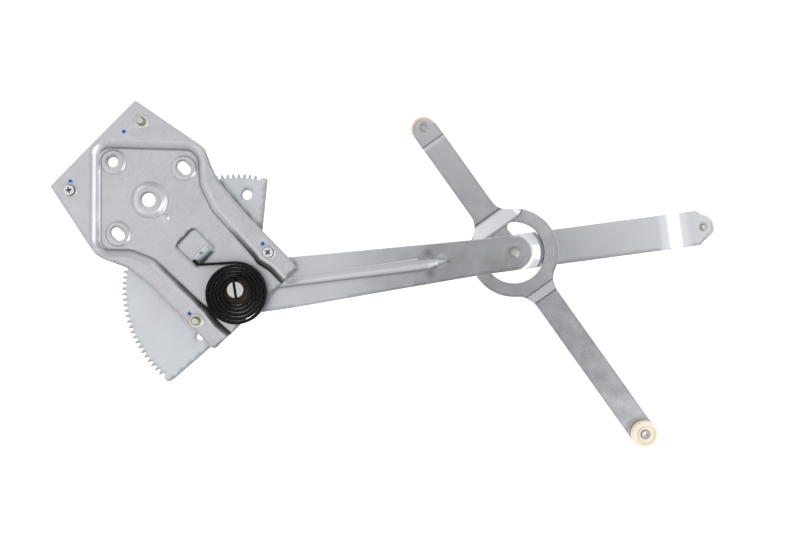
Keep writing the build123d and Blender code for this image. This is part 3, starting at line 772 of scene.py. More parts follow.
def bevelled(node_name, piece, mat, body, width=0.25, segs=2, angle=35):
    """A copy of a CAD node's mesh with its coplanar faces merged and its edges broken."""
    src = bpy.data.objects[frame_node(node_name)]
    me = src.data.copy()
    me.name = piece
    o = bpy.data.objects.new(piece, me)
    bpy.context.scene.collection.objects.link(o)
    bm = bmesh.new()
    bm.from_mesh(me)
    bmesh.ops.remove_doubles(bm, verts=bm.verts, dist=1e-6)
    bmesh.ops.dissolve_limit(bm, angle_limit=radians(1.0), verts=bm.verts, edges=bm.edges)
    bmesh.ops.recalc_face_normals(bm, faces=bm.faces)
    bm.to_mesh(me)
    bm.free()
    me.materials.clear()
    me.materials.append(mat)
    me.polygons.foreach_set("use_smooth", [True] * len(me.polygons))
    mod = o.modifiers.new("edge", "BEVEL")
    mod.width = width * MM
    mod.segments = segs
    mod.limit_method = "ANGLE"
    mod.angle_limit = radians(angle)
    mod.harden_normals = False
    dg = bpy.context.evaluated_depsgraph_get()
    me2 = bpy.data.meshes.new_from_object(o.evaluated_get(dg))
    o.modifiers.clear()
    o.data = me2
    me2.polygons.foreach_set("use_smooth", [True] * len(me2.polygons))
    me2.set_sharp_from_angle(angle=radians(38))
    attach(o, body)
    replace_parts(o, node_name)
    return o


def frame_node(name):
    n = frame["nodes"]
    v = n[name] if isinstance(n, dict) else None
    return v.name if hasattr(v, "name") else name


# ------------------------------------------------------------------ mounting plate
PLANFORM = [
    (-34.2, 121.3, 2.5), (35.1, 73.9, 14), (42.3, 55.0, 25), (50.1, 39.2, 40), (64.4, 22.0, 60), (75.8, 8.6, 60),
    (119.5, -36.3, 12), (127.8, -46.4, 3), (45.3, -128.2, 4), (41.5, -125.4, 6), (-17.2, -66.0, 30),
    (-41.0, -47.0, 30), (-63.8, -38.4, 20), (-72.8, -34.2, 16), (-80.5, -24.0, 20),
    (-119.2, 35.3, 2.5),
]
FOOT = [
    (-71.1, 74.2, 9), (26.0, 71.5, 13), (28.9, 36.0, 25), (41.3, 10.7, 30),
    (83.0, -36.0, 12), (86.6, -42.0, 12), (99.0, -49.6, 20), (128.0, -80.0, 0), (79.0, -131.0, 0),
    (59.5, -111.0, 20), (48.4, -101.4, 25), (38.6, -87.4, 10), (32.0, -82.6, 10), (-16.0, -37.5, 30),
    (-40.0, -28.0, 25), (-71.5, -28.0, 10),
]
MOTOR_C, PAD_A, PAD_B, PAD_C, BUMP = (-21.7, 21.7), (-58.2, 60.0), (13.3, 54.0), (-53.2, -12.5), (-5.6, 4.6)
ROOT, E, N_ = (28.0, -47.3), (0.693, 0.721), (-0.721, 0.693)


def tab_point(e, n):
    return (ROOT[0] + e * E[0] + n * N_[0], ROOT[1] + e * E[1] + n * N_[1])


def grown(points, d):
    n = len(points)
    out = []
    for i in range(n):
        x, y, r = points[i]
        px, py = x - points[i - 1][0], y - points[i - 1][1]
        qx, qy = points[(i + 1) % n][0] - x, points[(i + 1) % n][1] - y
        lp, lq = hypot(px, py), hypot(qx, qy)
        px, py, qx, qy = px / lp, py / lp, qx / lq, qy / lq
        nx, ny, mx, my = -py, px, -qy, qx
        k = 1 + nx * mx + ny * my
        ox, oy = (nx + mx) / k, (ny + my) / k
        turn = px * qy - py * qx
        out.append((x + ox * d, y + oy * d, max(0.0, r + d if turn < 0 else r - d)))
    return out


foot_line = sample_rounded(FOOT, 1.2, 0.6)


def radial(q, c):
    return np.hypot(q[:, 0] - c[0], q[:, 1] - c[1])


def ramped(t, a, peak, b, total):
    """Height gained along t when the slope rises evenly from a to peak and falls evenly to b."""
    rise = total * (t - a) ** 2 / ((peak - a) * (b - a))
    fall = total * (1 - (b - t) ** 2 / ((b - peak) * (b - a)))
    return np.where(t <= a, 0.0, np.where(t <= peak, rise, np.where(t <= b, fall, total)))


def foot_distance(q):
    d = seg_dist(foot_line, q)
    return np.where(inside(foot_line, q), -d, d)


def plate_z(q):
    z = -8.0 + ramped(foot_distance(q), -0.5, 0.7, 8.6, 8.0)
    z = z + 4.0 - ramped(radial(q, MOTOR_C), 11.5, 17.6, 18.7, 4.0)
    for c in (PAD_A, PAD_B, PAD_C):
        z = z + 1.5 - ramped(radial(q, c), 10.2, 12.3, 12.9, 1.5)
    z = z + 1.5 - ramped(radial(q, BUMP), 1.4, 3.6, 4.4, 1.5)
    return z


def bell(t, width):
    return np.exp(-(t / width) ** 2 / 2)


def plate_shade(q):
    """Painted shade along the pressed creases and at the wall feet, strongest beside the coil; on the left wall, round
    the motor boss and on the right flanks of the pads and the bump it also dims the highlights.
    """
    d = foot_distance(q)
    near = np.clip((94.0 - radial(q, PIVOT)) / 22.0, 0, 1)
    right = (q[:, 0] + q[:, 1] > 0)
    near = np.where(right, np.clip((66.0 - radial(q, PIVOT)) / 16.0, 0, 1), near)
    near = near * near * (3 - 2 * near)
    light = 0.60 * bell(d - 0.35, 0.75) + 0.15 * bell(d - 6.8, 0.8)
    left = np.clip((-58 - q[:, 0]) / 6, 0, 1) * (q[:, 1] > -27) * (q[:, 1] < 68)
    own = 0.30 * bell(d - 7.0, 0.7) + 0.26 * bell(d - 5.6, 0.6) + 0.34 * bell(d - 2.4, 0.8) + 0.50 * bell(d + 0.7, 0.6)
    light = light * (1 - left) + own * left
    heavy = 0.80 * np.where(d < 0.9, bell(d - 0.9, 1.1), bell(d - 0.9, 1.5)) + 0.16 * bell(d - 6.2, 1.0)
    s = light * (1 - near) + heavy * near
    s = np.maximum(s, 0.26 * bell(radial(q, MOTOR_C) - 18.3, 0.5))
    for c in (PAD_A, PAD_B, PAD_C):
        s = np.maximum(s, 0.26 * bell(radial(q, c) - 12.7, 0.5))
        s = np.maximum(s, 0.42 * bell(radial(q, c) - 11.7, 0.7) * np.clip((q[:, 0] - c[0]) / 8, 0, 1))
    s = np.maximum(s, 0.26 * bell(radial(q, MOTOR_C) - 15.6, 1.4) * np.clip((q[:, 0] - MOTOR_C[0]) / 12, 0, 1))
    s = np.maximum(s, 0.38 * bell(radial(q, BUMP) - 2.6, 1.2) * np.clip((q[:, 0] - BUMP[0]) / 2, 0, 1))
    return np.clip(s, 0, 0.92)


def plate():
    outer = sample_rounded(PLANFORM, 0.8, 0.5)
    holes = [circle(MOTOR_C, 7.0), circle(PAD_A, 5.0), slot(PAD_B, 5.0, 15.0, -45), slot(PAD_C, 5.0, 15.0, -45)]
    holes.append(sample_rounded([tab_point(-0.4, 32.2) + (4.0,), tab_point(25.4, 32.2) + (4.0,),
                                 tab_point(25.4, 0.0) + (4.0,), tab_point(-0.4, 0.0) + (4.0,)], 0.6))
    holes += [circle(STUD_A, 5.0), circle(STUD_D, 5.0), circle(SCREW_B, 3.4), circle(SCREW_C, 3.4), circle(PIVOT, 9.0)]
    feats = []
    for d in (-2.4, -1.5, -0.9, -0.4, 0.1, 0.6, 1.1, 1.7, 2.4, 3.3, 4.3, 5.3, 6.2, 7.0, 7.8, 8.6, 9.6):
        feats.append((True, sample_rounded(grown(FOOT, d), 1.1, 0.9)))
    for r in (9.5, 10.6, 11.5, 12.5, 13.6, 14.8, 15.9, 16.8, 17.4, 17.9, 18.4, 18.9, 19.8):
        feats.append((True, circle(MOTOR_C, r, 1.0)))
    for c in (PAD_A, PAD_B, PAD_C):
        for r in (9.4, 10.2, 10.9, 11.6, 12.2, 12.6, 13.0, 13.8):
            feats.append((True, circle(c, r, 0.9)))
    for r in (0.7, 1.4, 2.1, 2.8, 3.5, 4.0, 4.5, 5.2):
        feats.append((True, circle(BUMP, r, 0.8)))
    # painted shade from plate_shade, darker cut edges and a painted shade line along the edges, heaviest round the
    # window (loop 5)
    return sheet("mounting_plate_sheet", outer, holes, plate_z, 2.0, 2.6, M["zinc_plate"], "plate", feats,
                 shade=plate_shade, edge_dark=0.6, rim=lambda li: 0.9 if li == 5 else 0.60)


def spring_tab():
    """The tab bent up from the window's edge: a rounded strip swept along its bend, with
    the small notch in its tip."""
    base = [(-1.5, -10.0), (0.4, -10.0), (1.6, -9.8), (2.6, -9.3), (3.5, -8.5), (4.4, -7.2), (5.6, -5.27), (6.8, -3.35),
            (8.0, -1.42), (8.7, -0.3), (9.0, 0.19), (9.6, 1.15), (10.2, 2.12), (10.7, 2.92), (11.0, 3.4)]
    line = np.array(base)
    d = np.gradient(line, axis=0)
    d /= np.linalg.norm(d, axis=1)[:, None]
    nrm = np.stack([-d[:, 1], d[:, 0]], 1)
    e0, e1, t, r = 5.2, 21.8, 2.0, 0.35
    es = [e0, e0 + 0.1, e0 + r, 8.0, 11.0, 12.8, 13.0, 14.6, 15.4, 15.6, 18.5, e1 - r, e1 - 0.1, e1]
    ins = [r, 0.1, 0.0, 0, 0, 0, 0, 0, 0, 0, 0, 0.0, 0.1, r]
    verts, faces, vals = [], [], []
    m, k = len(line), len(es)
    for side in (0, 1):
        for i in range(m):
            for e, s in zip(es, ins):
                ss = s if side == 0 else t - s
                lift = 0.0
                if i == m - 1:
                    ss = min(max(ss, 0.35), t - 0.35)
                if 12.9 < e < 15.5 and i > m - 6:      # the notch
                    back = line[m - 6]
                    n2 = back + nrm[m - 6] * ss + d[m - 6] * 0.05 * (i - (m - 6))
                else:
                    n2 = line[i] + nrm[i] * ss
                x, y = tab_point(e, n2[0])
                verts.append((x * MM, y * MM, n2[1] * MM))
                # painted shade: one face darkens towards the bend's foot, the rest and the tip's top edge carry an even
                # light shade (dimming the edge's highlight), and the notch is painted dark
                low = bell(np.array(min(n2[0] - 2.2, 0.0) if n2[0] < 2.2 else (n2[0] - 2.2) * 1.4), 2.2)
                vals.append(float(0.86 * low if side == 1 and i < m - 1 else 0.35) if not (12.9 < e < 15.5 and i > m - 6) else 0.8)
    def at(side, i, j):
        return side * m * k + i * k + j
    for i in range(m - 1):
        for j in range(k - 1):
            faces.append((at(0, i, j), at(0, i, j + 1), at(0, i + 1, j + 1), at(0, i + 1, j)))
            faces.append((at(1, i, j), at(1, i + 1, j), at(1, i + 1, j + 1), at(1, i, j + 1)))
        for j in (0, k - 1):
            faces.append((at(0, i, j), at(0, i + 1, j), at(1, i + 1, j), at(1, i, j)))
    for j in range(k - 1):
        for i in (0, m - 1):
            faces.append((at(0, i, j), at(1, i, j), at(1, i, j + 1), at(0, i, j + 1)))
    o = make_object("spring_tab", verts, faces, M["tab_zinc"], "plate", True, 45)
    put_values(o.data, "painted_shade", vals)
    bm = bmesh.new()
    bm.from_mesh(o.data)
    bmesh.ops.recalc_face_normals(bm, faces=bm.faces)
    bm.to_mesh(o.data)
    bm.free()
    return o


p_plate = plate()
p_tab = spring_tab()
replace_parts(p_plate, "mounting_plate")

plate_line = sample_rounded(PLANFORM, 1.0, 0.6)


def plate_shadow(row, z):
    """Darkness beside the plate's edge, for points behind it in row mm."""
    k = 1000.0 / (1000.0 - z)
    q = np.column_stack([230.8 + (row[:, 0] - 230.8) * k, -45.2 + (row[:, 1] + 45.2) * k])
    d = seg_dist(plate_line, q)
    out = ~inside(plate_line, q)
    right = np.clip((q[:, 0] + q[:, 1] + 40) / 60, 0, 1)
    return np.where(out, (0.07 + 0.50 * right) * bell(d - 0.2, 1.1), (0.2 + 0.4 * right) * np.clip(1 - d / 4, 0, 1))


# ------------------------------------------------------------------ lift arm
ARM_OUT = [
    (-26.9, 0.0, 0), (-0.5, 26.4, 0), (48.0, 25.9, 60), (250.0, 18.2, 80), (478.3, 18.2, 2), (486.0, 11.4, 2), (493.6, 5.2, 5),
    (493.6, -5.2, 5), (486.0, -11.4, 2), (478.3, -18.2, 2), (250.0, -18.2, 80), (48.0, -25.9, 60), (-0.5, -26.4, 0),
]


def arm_outline():
    pts = sample_rounded(ARM_OUT[1:], 0.9, 0.6, closed=False)
    a = np.linspace(-pi / 2, -3 * pi / 2, 110)[1:-1]
    hub = np.stack([-0.5 + 26.4 * np.cos(a), 26.4 * np.sin(a)], 1)
    return np.concatenate([pts, hub])


def arm_z(q):
    x = q[:, 0]
    z = bends(x, -14.0, [(66, -7 / 131, 6.0), (197, 7 / 131, 3.0)])
    r = np.hypot(x - L_CROSS, q[:, 1])
    # dome round the rivet: soft shoulder, steady slope, tight foot; 8.5 mm in all
    s = 8.5 / (0.5 * 3.5 + 10.0 + 0.5 * 2.5)
    drop = (np.where(r < 17, 0, np.where(r < 20.5, s * (r - 17) ** 2 / 7.0, s * 1.75))
            + s * np.clip(r - 20.5, 0, 10.0)
            + np.where(r < 30.5, 0, np.where(r < 33, s * (1.25 - (33 - r) ** 2 / 5.0), s * 1.25)))
    z = z - np.where(x > L_CROSS, drop, 0.0)
    s2 = 9.0 / 18.5
    z = z + bends(x, 0.0, [(443, -s2, 6.5), (461.5, s2, 6.5)])
    return z


def rib_width(x):
    return np.interp(x, [30, 62, 195, 206, 215.5], [4.2, 4.3, 5.8, 3.0, 0.4])


RIB_Y = 0.9


def rib_front(q):
    w = rib_width(q[:, 0])
    h = np.interp(q[:, 0], [28, 34, 62, 195, 206, 215.5], [0, 2.8, 3.0, 3.0, 1.4, 0.0])
    t = np.clip(1 - np.abs(q[:, 1] - RIB_Y) / w, 0, 1)
    return h * t


def rib_back(q):
    w = np.maximum(rib_width(q[:, 0]) - 0.9, 0.3)
    h = np.interp(q[:, 0], [28, 34, 62, 195, 206, 215.5], [0, 2.0, 2.2, 2.2, 1.0, 0.0])
    t = np.clip(1 - np.abs(q[:, 1] - RIB_Y) / w, 0, 1)
    return h * t


def arm_shade(q):
    # Painted shade on the lift arm: dark lines beside the rib and round its tip, a dark band at the bend, a painted
    # dark reflection on the rib near the plate (patch), the plate's painted shadow (behind) and a faint line on the
    # dome (foot).
    x, y = q[:, 0], q[:, 1] - RIB_Y
    w = rib_width(x)
    on = (x > 34) & (x < 213)
    low = np.where(on, 0.74 * bell(y + w + 0.3, 0.75), 0)
    high = np.where(on, 0.16 * bell(y - w - 0.2, 0.7), 0)
    tip = np.where((x > 185) & (x < 217), 0.62 * bell(np.abs(y) - w, 0.8), 0)
    bend_shade = 0.44 * bell(x - 195, 3.4) * np.clip((np.abs(y) - w - 0.5) / 2, 0, 1) * np.clip((18 - np.abs(y)) / 8, 0.2, 1)
    patch = 0.42 * bell((x - 55) / 9, 0.6) * bell(q[:, 1] - 0.5, 2.6)
    row = local_to_row(PIVOT, ARM_ANGLE)(np.column_stack([q[:, 0], q[:, 1], 0 * q[:, 0]]))
    behind = np.where(x < 130, plate_shadow(row, -13.0), 0)
    r = np.hypot(x - L_CROSS, q[:, 1])
    foot = np.where(x > L_CROSS, 0.14 * bell(r - 24.4, 0.6), 0)
    return np.clip(np.maximum.reduce([low, high, tip, bend_shade, foot, patch, behind]), 0, 0.9)


def lift_arm():
    holes = [circle((0, 0), 7.0), circle((L_CROSS, 0), 4.5), circle((L_LIFT, 0), 3.2)]
    feats = []
    for x in (56, 60, 64, 68, 72, 76, 191, 193, 194.5, 196, 197.5, 199, 201, 203, 435, 437.5, 440, 442.5, 445, 447.5, 450, 453, 455.5, 458, 460.5, 463, 465.5, 468.5):
        ys = np.arange(-25, 25.1, 1.2)
        if 50 < x < 210:
            ys = ys[np.abs(ys) > 7.6]
            for part in (ys[ys < 0], ys[ys > 0]):
                feats.append((False, np.column_stack([np.full(len(part), float(x)), part])))
        else:
            feats.append((False, np.column_stack([np.full(len(ys), float(x)), ys])))
    for r in (15.6, 16.4, 17.1, 17.8, 18.5, 19.2, 19.9, 20.6, 21.6, 22.7, 23.7, 24.4, 25.1, 26.4, 28.0, 29.3, 30.2, 30.8, 31.4, 32.0, 32.6, 33.3, 34.4):
        a = np.linspace(-radians(70), radians(70), int(r * 2.4))
        feats.append((False, np.stack([L_CROSS + 0.2 + r * np.cos(a), r * np.sin(a)], 1)))
    xs = np.concatenate([np.arange(30, 206, 1.3), np.arange(206, 215.6, 0.8)])
    wide = xs[xs < 203]
    for sgn in (-1, 1):
        for extra in (1.6, 0.8, 0.0, -0.7):
            xx = xs if extra == 0.0 else wide
            feats.append((False, np.column_stack([xx, RIB_Y + sgn * (rib_width(xx) + extra)])))
        feats.append((False, np.column_stack([wide, RIB_Y + sgn * 0.5 * rib_width(wide)])))
        feats.append((False, np.column_stack([wide, np.full(len(wide), RIB_Y + sgn * 0.45)])))
    feats.append((False, np.column_stack([xs, np.full(len(xs), RIB_Y)])))
    off = [lambda g: (g[:, 0] > 28) & (g[:, 0] < 216) & (np.abs(g[:, 1] - RIB_Y) < 8.0)]
    return sheet("lift_arm_sheet", arm_outline(), holes, arm_z, 3.0, 3.0, M["arm_zinc"], "lift", feats, edge=0.3,
                 front=rib_front, back=rib_back, to_row=local_to_row(PIVOT, ARM_ANGLE), keep_off=off, shade=arm_shade,
                 edge_dark=0.35)


p_arm = lift_arm()
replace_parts(p_arm, "lift_arm")

# ------------------------------------------------------------------ crossing arm
RING_R, RING_BORE = 45.6, 31.3


def cross_outline():
    """Outer edge of the crossing arm: both arms flow into the ring."""
    def tangent_arc(side, hw, rf):
        # fillet circle outside the ring and outside the arm's edge, centre (cx, cy)
        cy = hw + rf
        cx = sqrt(max((RING_R + rf) ** 2 - cy ** 2, 0))
        return cx, cy
    pts = []
    up_hw, up_rf = 13.5, 19.0
    lo_hw, lo_rf = 13.4, 22.0
    ux, uy = tangent_arc(1, up_hw, up_rf)
    lx, ly = tangent_arc(-1, lo_hw, lo_rf)
    # counterclockwise, starting on the upper arm's right edge (negative y)
    nose = sample_rounded([(120.0, -up_hw, 0), (156.5, -up_hw, 3), (167.6, -4.8, 7), (167.6, 4.8, 7), (156.5, up_hw, 3), (120.0, up_hw, 0)],
                          0.9, 0.5, closed=False)
    seq = [np.column_stack([np.arange(ux, 119.5, 0.9), np.full(len(np.arange(ux, 119.5, 0.9)), -up_hw)]), nose,
           np.column_stack([np.arange(119.2, ux, -0.9), np.full(len(np.arange(119.2, ux, -0.9)), up_hw)])]
    t_end = atan2(uy, ux)                 # ring contact angle
    a = np.arange(-pi / 2, -(pi - t_end) - 1e-9, -0.03)
    a = np.linspace(-pi / 2, -(pi - t_end), 26)
    seq.append(np.stack([ux + up_rf * np.cos(a), uy + up_rf * np.sin(a)], 1))
    l_end = atan2(ly, -lx)
    a = np.linspace(t_end, l_end, 90)[1:-1]
    seq.append(np.stack([RING_R * np.cos(a), RING_R * np.sin(a)], 1))
    a = np.linspace(l_end - pi, -pi / 2, 26)
    seq.append(np.stack([-lx + lo_rf * np.cos(a), ly + lo_rf * np.sin(a)], 1))
    xs = np.arange(-lx - 0.5, -L_LOW, -0.9)
    seq.append(np.column_stack([xs, np.full(len(xs), lo_hw)]))
    a = np.linspace(pi / 2, 3 * pi / 2, 70)
    seq.append(np.stack([-L_LOW + 13.9 * np.cos(a), 13.9 * np.sin(a) * (13.4 / 13.9) ** (np.abs(np.sin(a)) ** 4)], 1))
    xs = np.arange(-L_LOW + 0.5, -lx, 0.9)
    seq.append(np.column_stack([xs, np.full(len(xs), -lo_hw)]))
    a = np.linspace(pi / 2, pi - l_end, 26)
    seq.append(np.stack([-lx + lo_rf * np.cos(a), -ly + lo_rf * np.sin(a)], 1))
    a = np.linspace(-l_end, -t_end, 90)[1:-1]
    seq.append(np.stack([RING_R * np.cos(a), RING_R * np.sin(a)], 1))
    a = np.linspace(pi - t_end, pi / 2, 26)
    seq.append(np.stack([ux + up_rf * np.cos(a), -uy + up_rf * np.sin(a)], 1))
    p = np.concatenate(seq)
    keep = [0]
    for i in range(1, len(p)):
        if np.hypot(*(p[i] - p[keep[-1]])) > 0.12:
            keep.append(i)
    p = p[keep]
    if np.hypot(*(p[0] - p[-1])) < 0.12:
        p = p[:-1]
    return p


def ring_hole():
    """The ring's opening: a circle with the tongue and its disc left standing."""
    neck, disc_r, f1, f2 = 8.6, 17.2, 11.0, 5.0
    # concave fillet between disc and neck
    cy = neck + f1
    cx = sqrt((disc_r + f1) ** 2 - cy ** 2)
    t0 = atan2(cy, cx)
    # fillet between neck and the ring's inner edge
    dy = neck + f2
    dx = sqrt((RING_BORE - f2) ** 2 - dy ** 2)
    t1 = atan2(dy, dx)
    seq = []
    a = np.linspace(t1, 2 * pi - t1, 260)
    seq.append(np.stack([RING_BORE * np.cos(a), RING_BORE * np.sin(a)], 1))
    a = np.linspace(-t1, pi / 2, 18)[1:]
    seq.append(np.stack([dx + f2 * np.cos(a), -dy + f2 * np.sin(a)], 1))
    a = np.linspace(pi / 2, pi - t0, 18)
    seq.append(np.stack([cx + f1 * np.cos(a), -cy + f1 * np.sin(a)], 1))
    a = np.linspace(2 * pi - t0, t0, 120)[1:-1]
    seq.append(np.stack([disc_r * np.cos(a), disc_r * np.sin(a)], 1))
    a = np.linspace(pi + t0, 3 * pi / 2, 18)
    seq.append(np.stack([cx + f1 * np.cos(a), cy + f1 * np.sin(a)], 1))
    a = np.linspace(-pi / 2, t1, 18)[:-1]
    seq.append(np.stack([dx + f2 * np.cos(a), dy + f2 * np.sin(a)], 1))
    p = np.concatenate(seq)
    keep = [0]
    for i in range(1, len(p)):
        if np.hypot(*(p[i] - p[keep[-1]])) > 0.1:
            keep.append(i)
    return p[keep]


def crease_shift(y):
    return 0.07 * np.clip(np.abs(y) - 25.0, 0, 20) ** 2


def cross_z(q):
    x, y = q[:, 0], q[:, 1]
    s1, s2, s3 = 4.0 / 6.5, 12.0 / 14.2, 1.5 / 2.1
    z = bends(x, -21.0, [(-52.9, -s1, 1.3), (-46.4, s1, 1.3)])
    xs = x - crease_shift(y)
    z = z - s2 * blend_step(xs - 29.2, 1.4) + s2 * blend_step(np.minimum(xs, x) - 43.4, 1.4)
    z = z + bends(x, 0.0, [(139.3, -s3, 0.7), (141.4, s3, 0.7)])
    return z


def cross_shade(q):
    # Painted shade on the crossing arm: dark lines along its bends and folds, and the roller's painted shadow round the
    # lower end.
    x, y = q[:, 0], q[:, 1]
    xs = x - crease_shift(y)
    s = np.maximum(0.62 * bell(xs - 27.9, 0.55), 0.84 * bell(x - 45.3, 0.6))
    s = np.maximum(s, np.maximum(0.66 * bell(x + 54.8, 0.55), 0.70 * bell(x + 44.9, 0.5)))
    s = np.maximum(s, 0.66 * bell(x - 142.5, 0.55))
    r = np.hypot(x + L_LOW, y)
    s = np.maximum(s, np.where(r < 22, 0.34 * bell(np.maximum(r - 12.5, 0), 2.2) * np.clip(0.5 + (x + L_LOW) / 20, 0, 1), 0))
    s = np.maximum(s, 0.85 * bell(xs - 27.2, 1.6) * np.clip((np.abs(y) - 34) / 5, 0, 1))
    return s


def crossing_arm():
    holes = [ring_hole(), circle((0, 0), 6.06), circle((L_UP, 0), 3.2), circle((-L_LOW, 0), 3.2)]
    feats = []
    for x in (-56.2, -55.4, -54.8, -54.2, -52.9, -51.6, -49.7, -47.7, -46.4, -45.5, -44.9, -44.3, -43.5, 138, 138.8, 139.6, 140.4, 141.2, 141.9, 142.5, 143.1, 144.0):
        ys = np.arange(-20, 20.1, 1.0)
        feats.append((False, np.column_stack([np.full(len(ys), float(x)), ys])))
    for x in (26.4, 27.2, 27.9, 28.6, 29.4, 30.4, 31.4, 34, 37, 39.6, 41.2, 42.3, 43.2, 44.0, 44.7, 45.3, 45.9, 46.8):
        ys = np.arange(-40, 40.1, 1.0)
        sh = crease_shift(ys) if x < 36 else 0 * ys
        feats.append((False, np.column_stack([x + sh, ys])))
    return sheet("crossing_arm_sheet", cross_outline(), holes, cross_z, 3.0, 3.0, M["cross_zinc"], "crossing", feats, edge=0.3,
                 to_row=local_to_row(C, CROSS_ANGLE), shade=cross_shade, edge_dark=0.35)


p_cross = crossing_arm()
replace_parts(p_cross, "crossing_arm")

# ------------------------------------------------------------------ sector
slots = {s["node"]: s["material_slot"] for s in frame["record"]["subparts"]}


def polar(r, a, c=PIVOT):
    return (c[0] + r * cos(radians(a)), c[1] + r * sin(radians(a)))


RIVETS = [polar(20.0, a) for a in (95, 155, 215)]


def sector():
    tooth, first, count, hub = 2.8125, 79.6, 53, 19.2
    tip, root, a0, a1, side = 117.0, 113.0, 84.35, 220.9, 26.3
    pts = [polar(hub, a0 - 90) + (0,)]
    end_a = a0 - degrees(atan2(hub, sqrt(116.3 ** 2 - hub ** 2)))
    pts += [polar(116.3, end_a) + (1.6,), polar(116.3, (end_a + first) / 2) + (0,)]
    for i in range(count + 1):
        a = first + i * tooth
        pts += [polar(root, a - 0.18 * tooth) + (0.55,), polar(root, a + 0.18 * tooth) + (0.55,)]
        if i < count:
            pts += [polar((root + tip) / 2, a + 0.255 * tooth) + (0,), polar(tip, a + 0.36 * tooth) + (0.6,),
                    polar(tip, a + 0.64 * tooth) + (0.6,), polar((root + tip) / 2, a + 0.745 * tooth) + (0,)]
    a = first + count * tooth
    pts += [polar(116.3, a + 0.5 * tooth) + (0.8,), polar(116.8, 231.0) + (0,), polar(117.0, 232.4) + (1.2,),
            polar(115.9, 233.5) + (1.2,)]
    ux, uy = cos(radians(a1)), sin(radians(a1))
    for s in (108.5, 14.0):
        pts.append((PIVOT[0] + s * ux - side * uy, PIVOT[1] + s * uy + side * ux, 0.8 if s > 50 else 2.0))
    for k in range(0, 13):
        pts.append(polar(hub, 313.5 + (a0 + 270 - 313.5) * k / 13) + (0,))
    outer = sample_rounded(pts, 0.8, 0.35)
    holes = [circle(PIVOT, 7.0), circle(polar(96.2, 84.2), 4.7), circle(polar(60.7, 231.6), 3.7)]
    holes += [circle(c, 3.0) for c in RIVETS]
    feats = []
    for d in (0.4, 1.6, 3.2):
        g = np.array(sample_rounded(grown(PLANFORM, -d), 2.0, 1.2))
        feats.append((True, np.column_stack([230.8 + (g[:, 0] - 230.8) * 1.0115, -45.2 + (g[:, 1] + 45.2) * 1.0115])))
    # painted shadow of the plate's edge on the sector, darker cut edges and a painted shade line along its edges
    return sheet("sector_sheet", outer, holes, lambda q: np.full(len(q), -11.5), 2.5, 4.5, M["sector_zinc"], "lift",
                 edge=0.15, edge_dark=0.5, shade=lambda q: np.clip(plate_shadow(q, -11.5), 0, 0.9), rim=0.55)


p_sector = sector()
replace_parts(p_sector, "sector_gear")

# ------------------------------------------------------------------ counterbalance spring
SLOT_DIR = -81.3
COIL_C = (66.17, -71.91)
COIL_RADII = [30.54, 29.83, 29.05, 28.1, 27.06, 26.13, 25.31, 24.36, 23.27, 22.31, 21.51, 20.58, 19.49, 18.51,
              17.69, 16.78, 15.74, 14.82, 14.12, 13.52]


def coil_path():
    """Lines and arcs of the strip's centre line, hook first."""
    hook = radians(136)
    corner = (29.04, -43.47)
    gx, gy = COIL_C[0] - corner[0], COIL_C[1] - corner[1]
    leg = pi + atan2(gy, gx) + asin(COIL_RADII[0] / hypot(gx, gy))
    rh = 2.6
    cutb = rh * tan((leg - hook) / 2)
    tip = (corner[0] + 6.6 * cos(hook), corner[1] + 6.6 * sin(hook))
    p1 = (corner[0] + cutb * cos(hook), corner[1] + cutb * sin(hook))
    p2 = (corner[0] - cutb * cos(leg), corner[1] - cutb * sin(leg))
    path = [("line", tip, p1)]
    c = (p1[0] + rh * cos(hook - pi / 2), p1[1] + rh * sin(hook - pi / 2))
    s0 = degrees(atan2(p1[1] - c[1], p1[0] - c[0]))
    s1 = degrees(atan2(p2[1] - c[1], p2[0] - c[0]))
    while s1 < s0:
        s1 += 360
    path.append(("arc", c, rh, s0, s1))
    a = degrees(leg) - 90
    path.append(("line", p2, polar(COIL_RADII[0], a, COIL_C)))
    c = COIL_C
    for k, r in enumerate(COIL_RADII):
        if k > 0:
            a = 90.0 * (1 - k % 4)
            c = polar(COIL_RADII[k - 1] - r, a, c)
        if k < len(COIL_RADII) - 1:
            path.append(("arc", c, r, a, 90.0 * (1 - k % 4) - 90.0))
    d = (cos(radians(SLOT_DIR)), sin(radians(SLOT_DIR)))
    nn = (d[1], -d[0])
    q = 1.9
    lo, hi = -20.0, 0.0
    for _ in range(60):
        s = (lo + hi) / 2
        m = (PIVOT[0] + s * d[0] + q * nn[0], PIVOT[1] + s * d[1] + q * nn[1])
        if hypot(m[0] - c[0], m[1] - c[1]) > r - q:
            lo = s
        else:
            hi = s
    ang = degrees(atan2(m[1] - c[1], m[0] - c[0]))
    path.append(("arc", c, r, 180.0, ang))
    path.append(("arc", m, q, ang, degrees(atan2(-nn[1], -nn[0]))))
    t2 = (m[0] - q * nn[0], m[1] - q * nn[1])
    path.append(("line", t2, (PIVOT[0] + 9.6 * d[0], PIVOT[1] + 9.6 * d[1])))
    return path


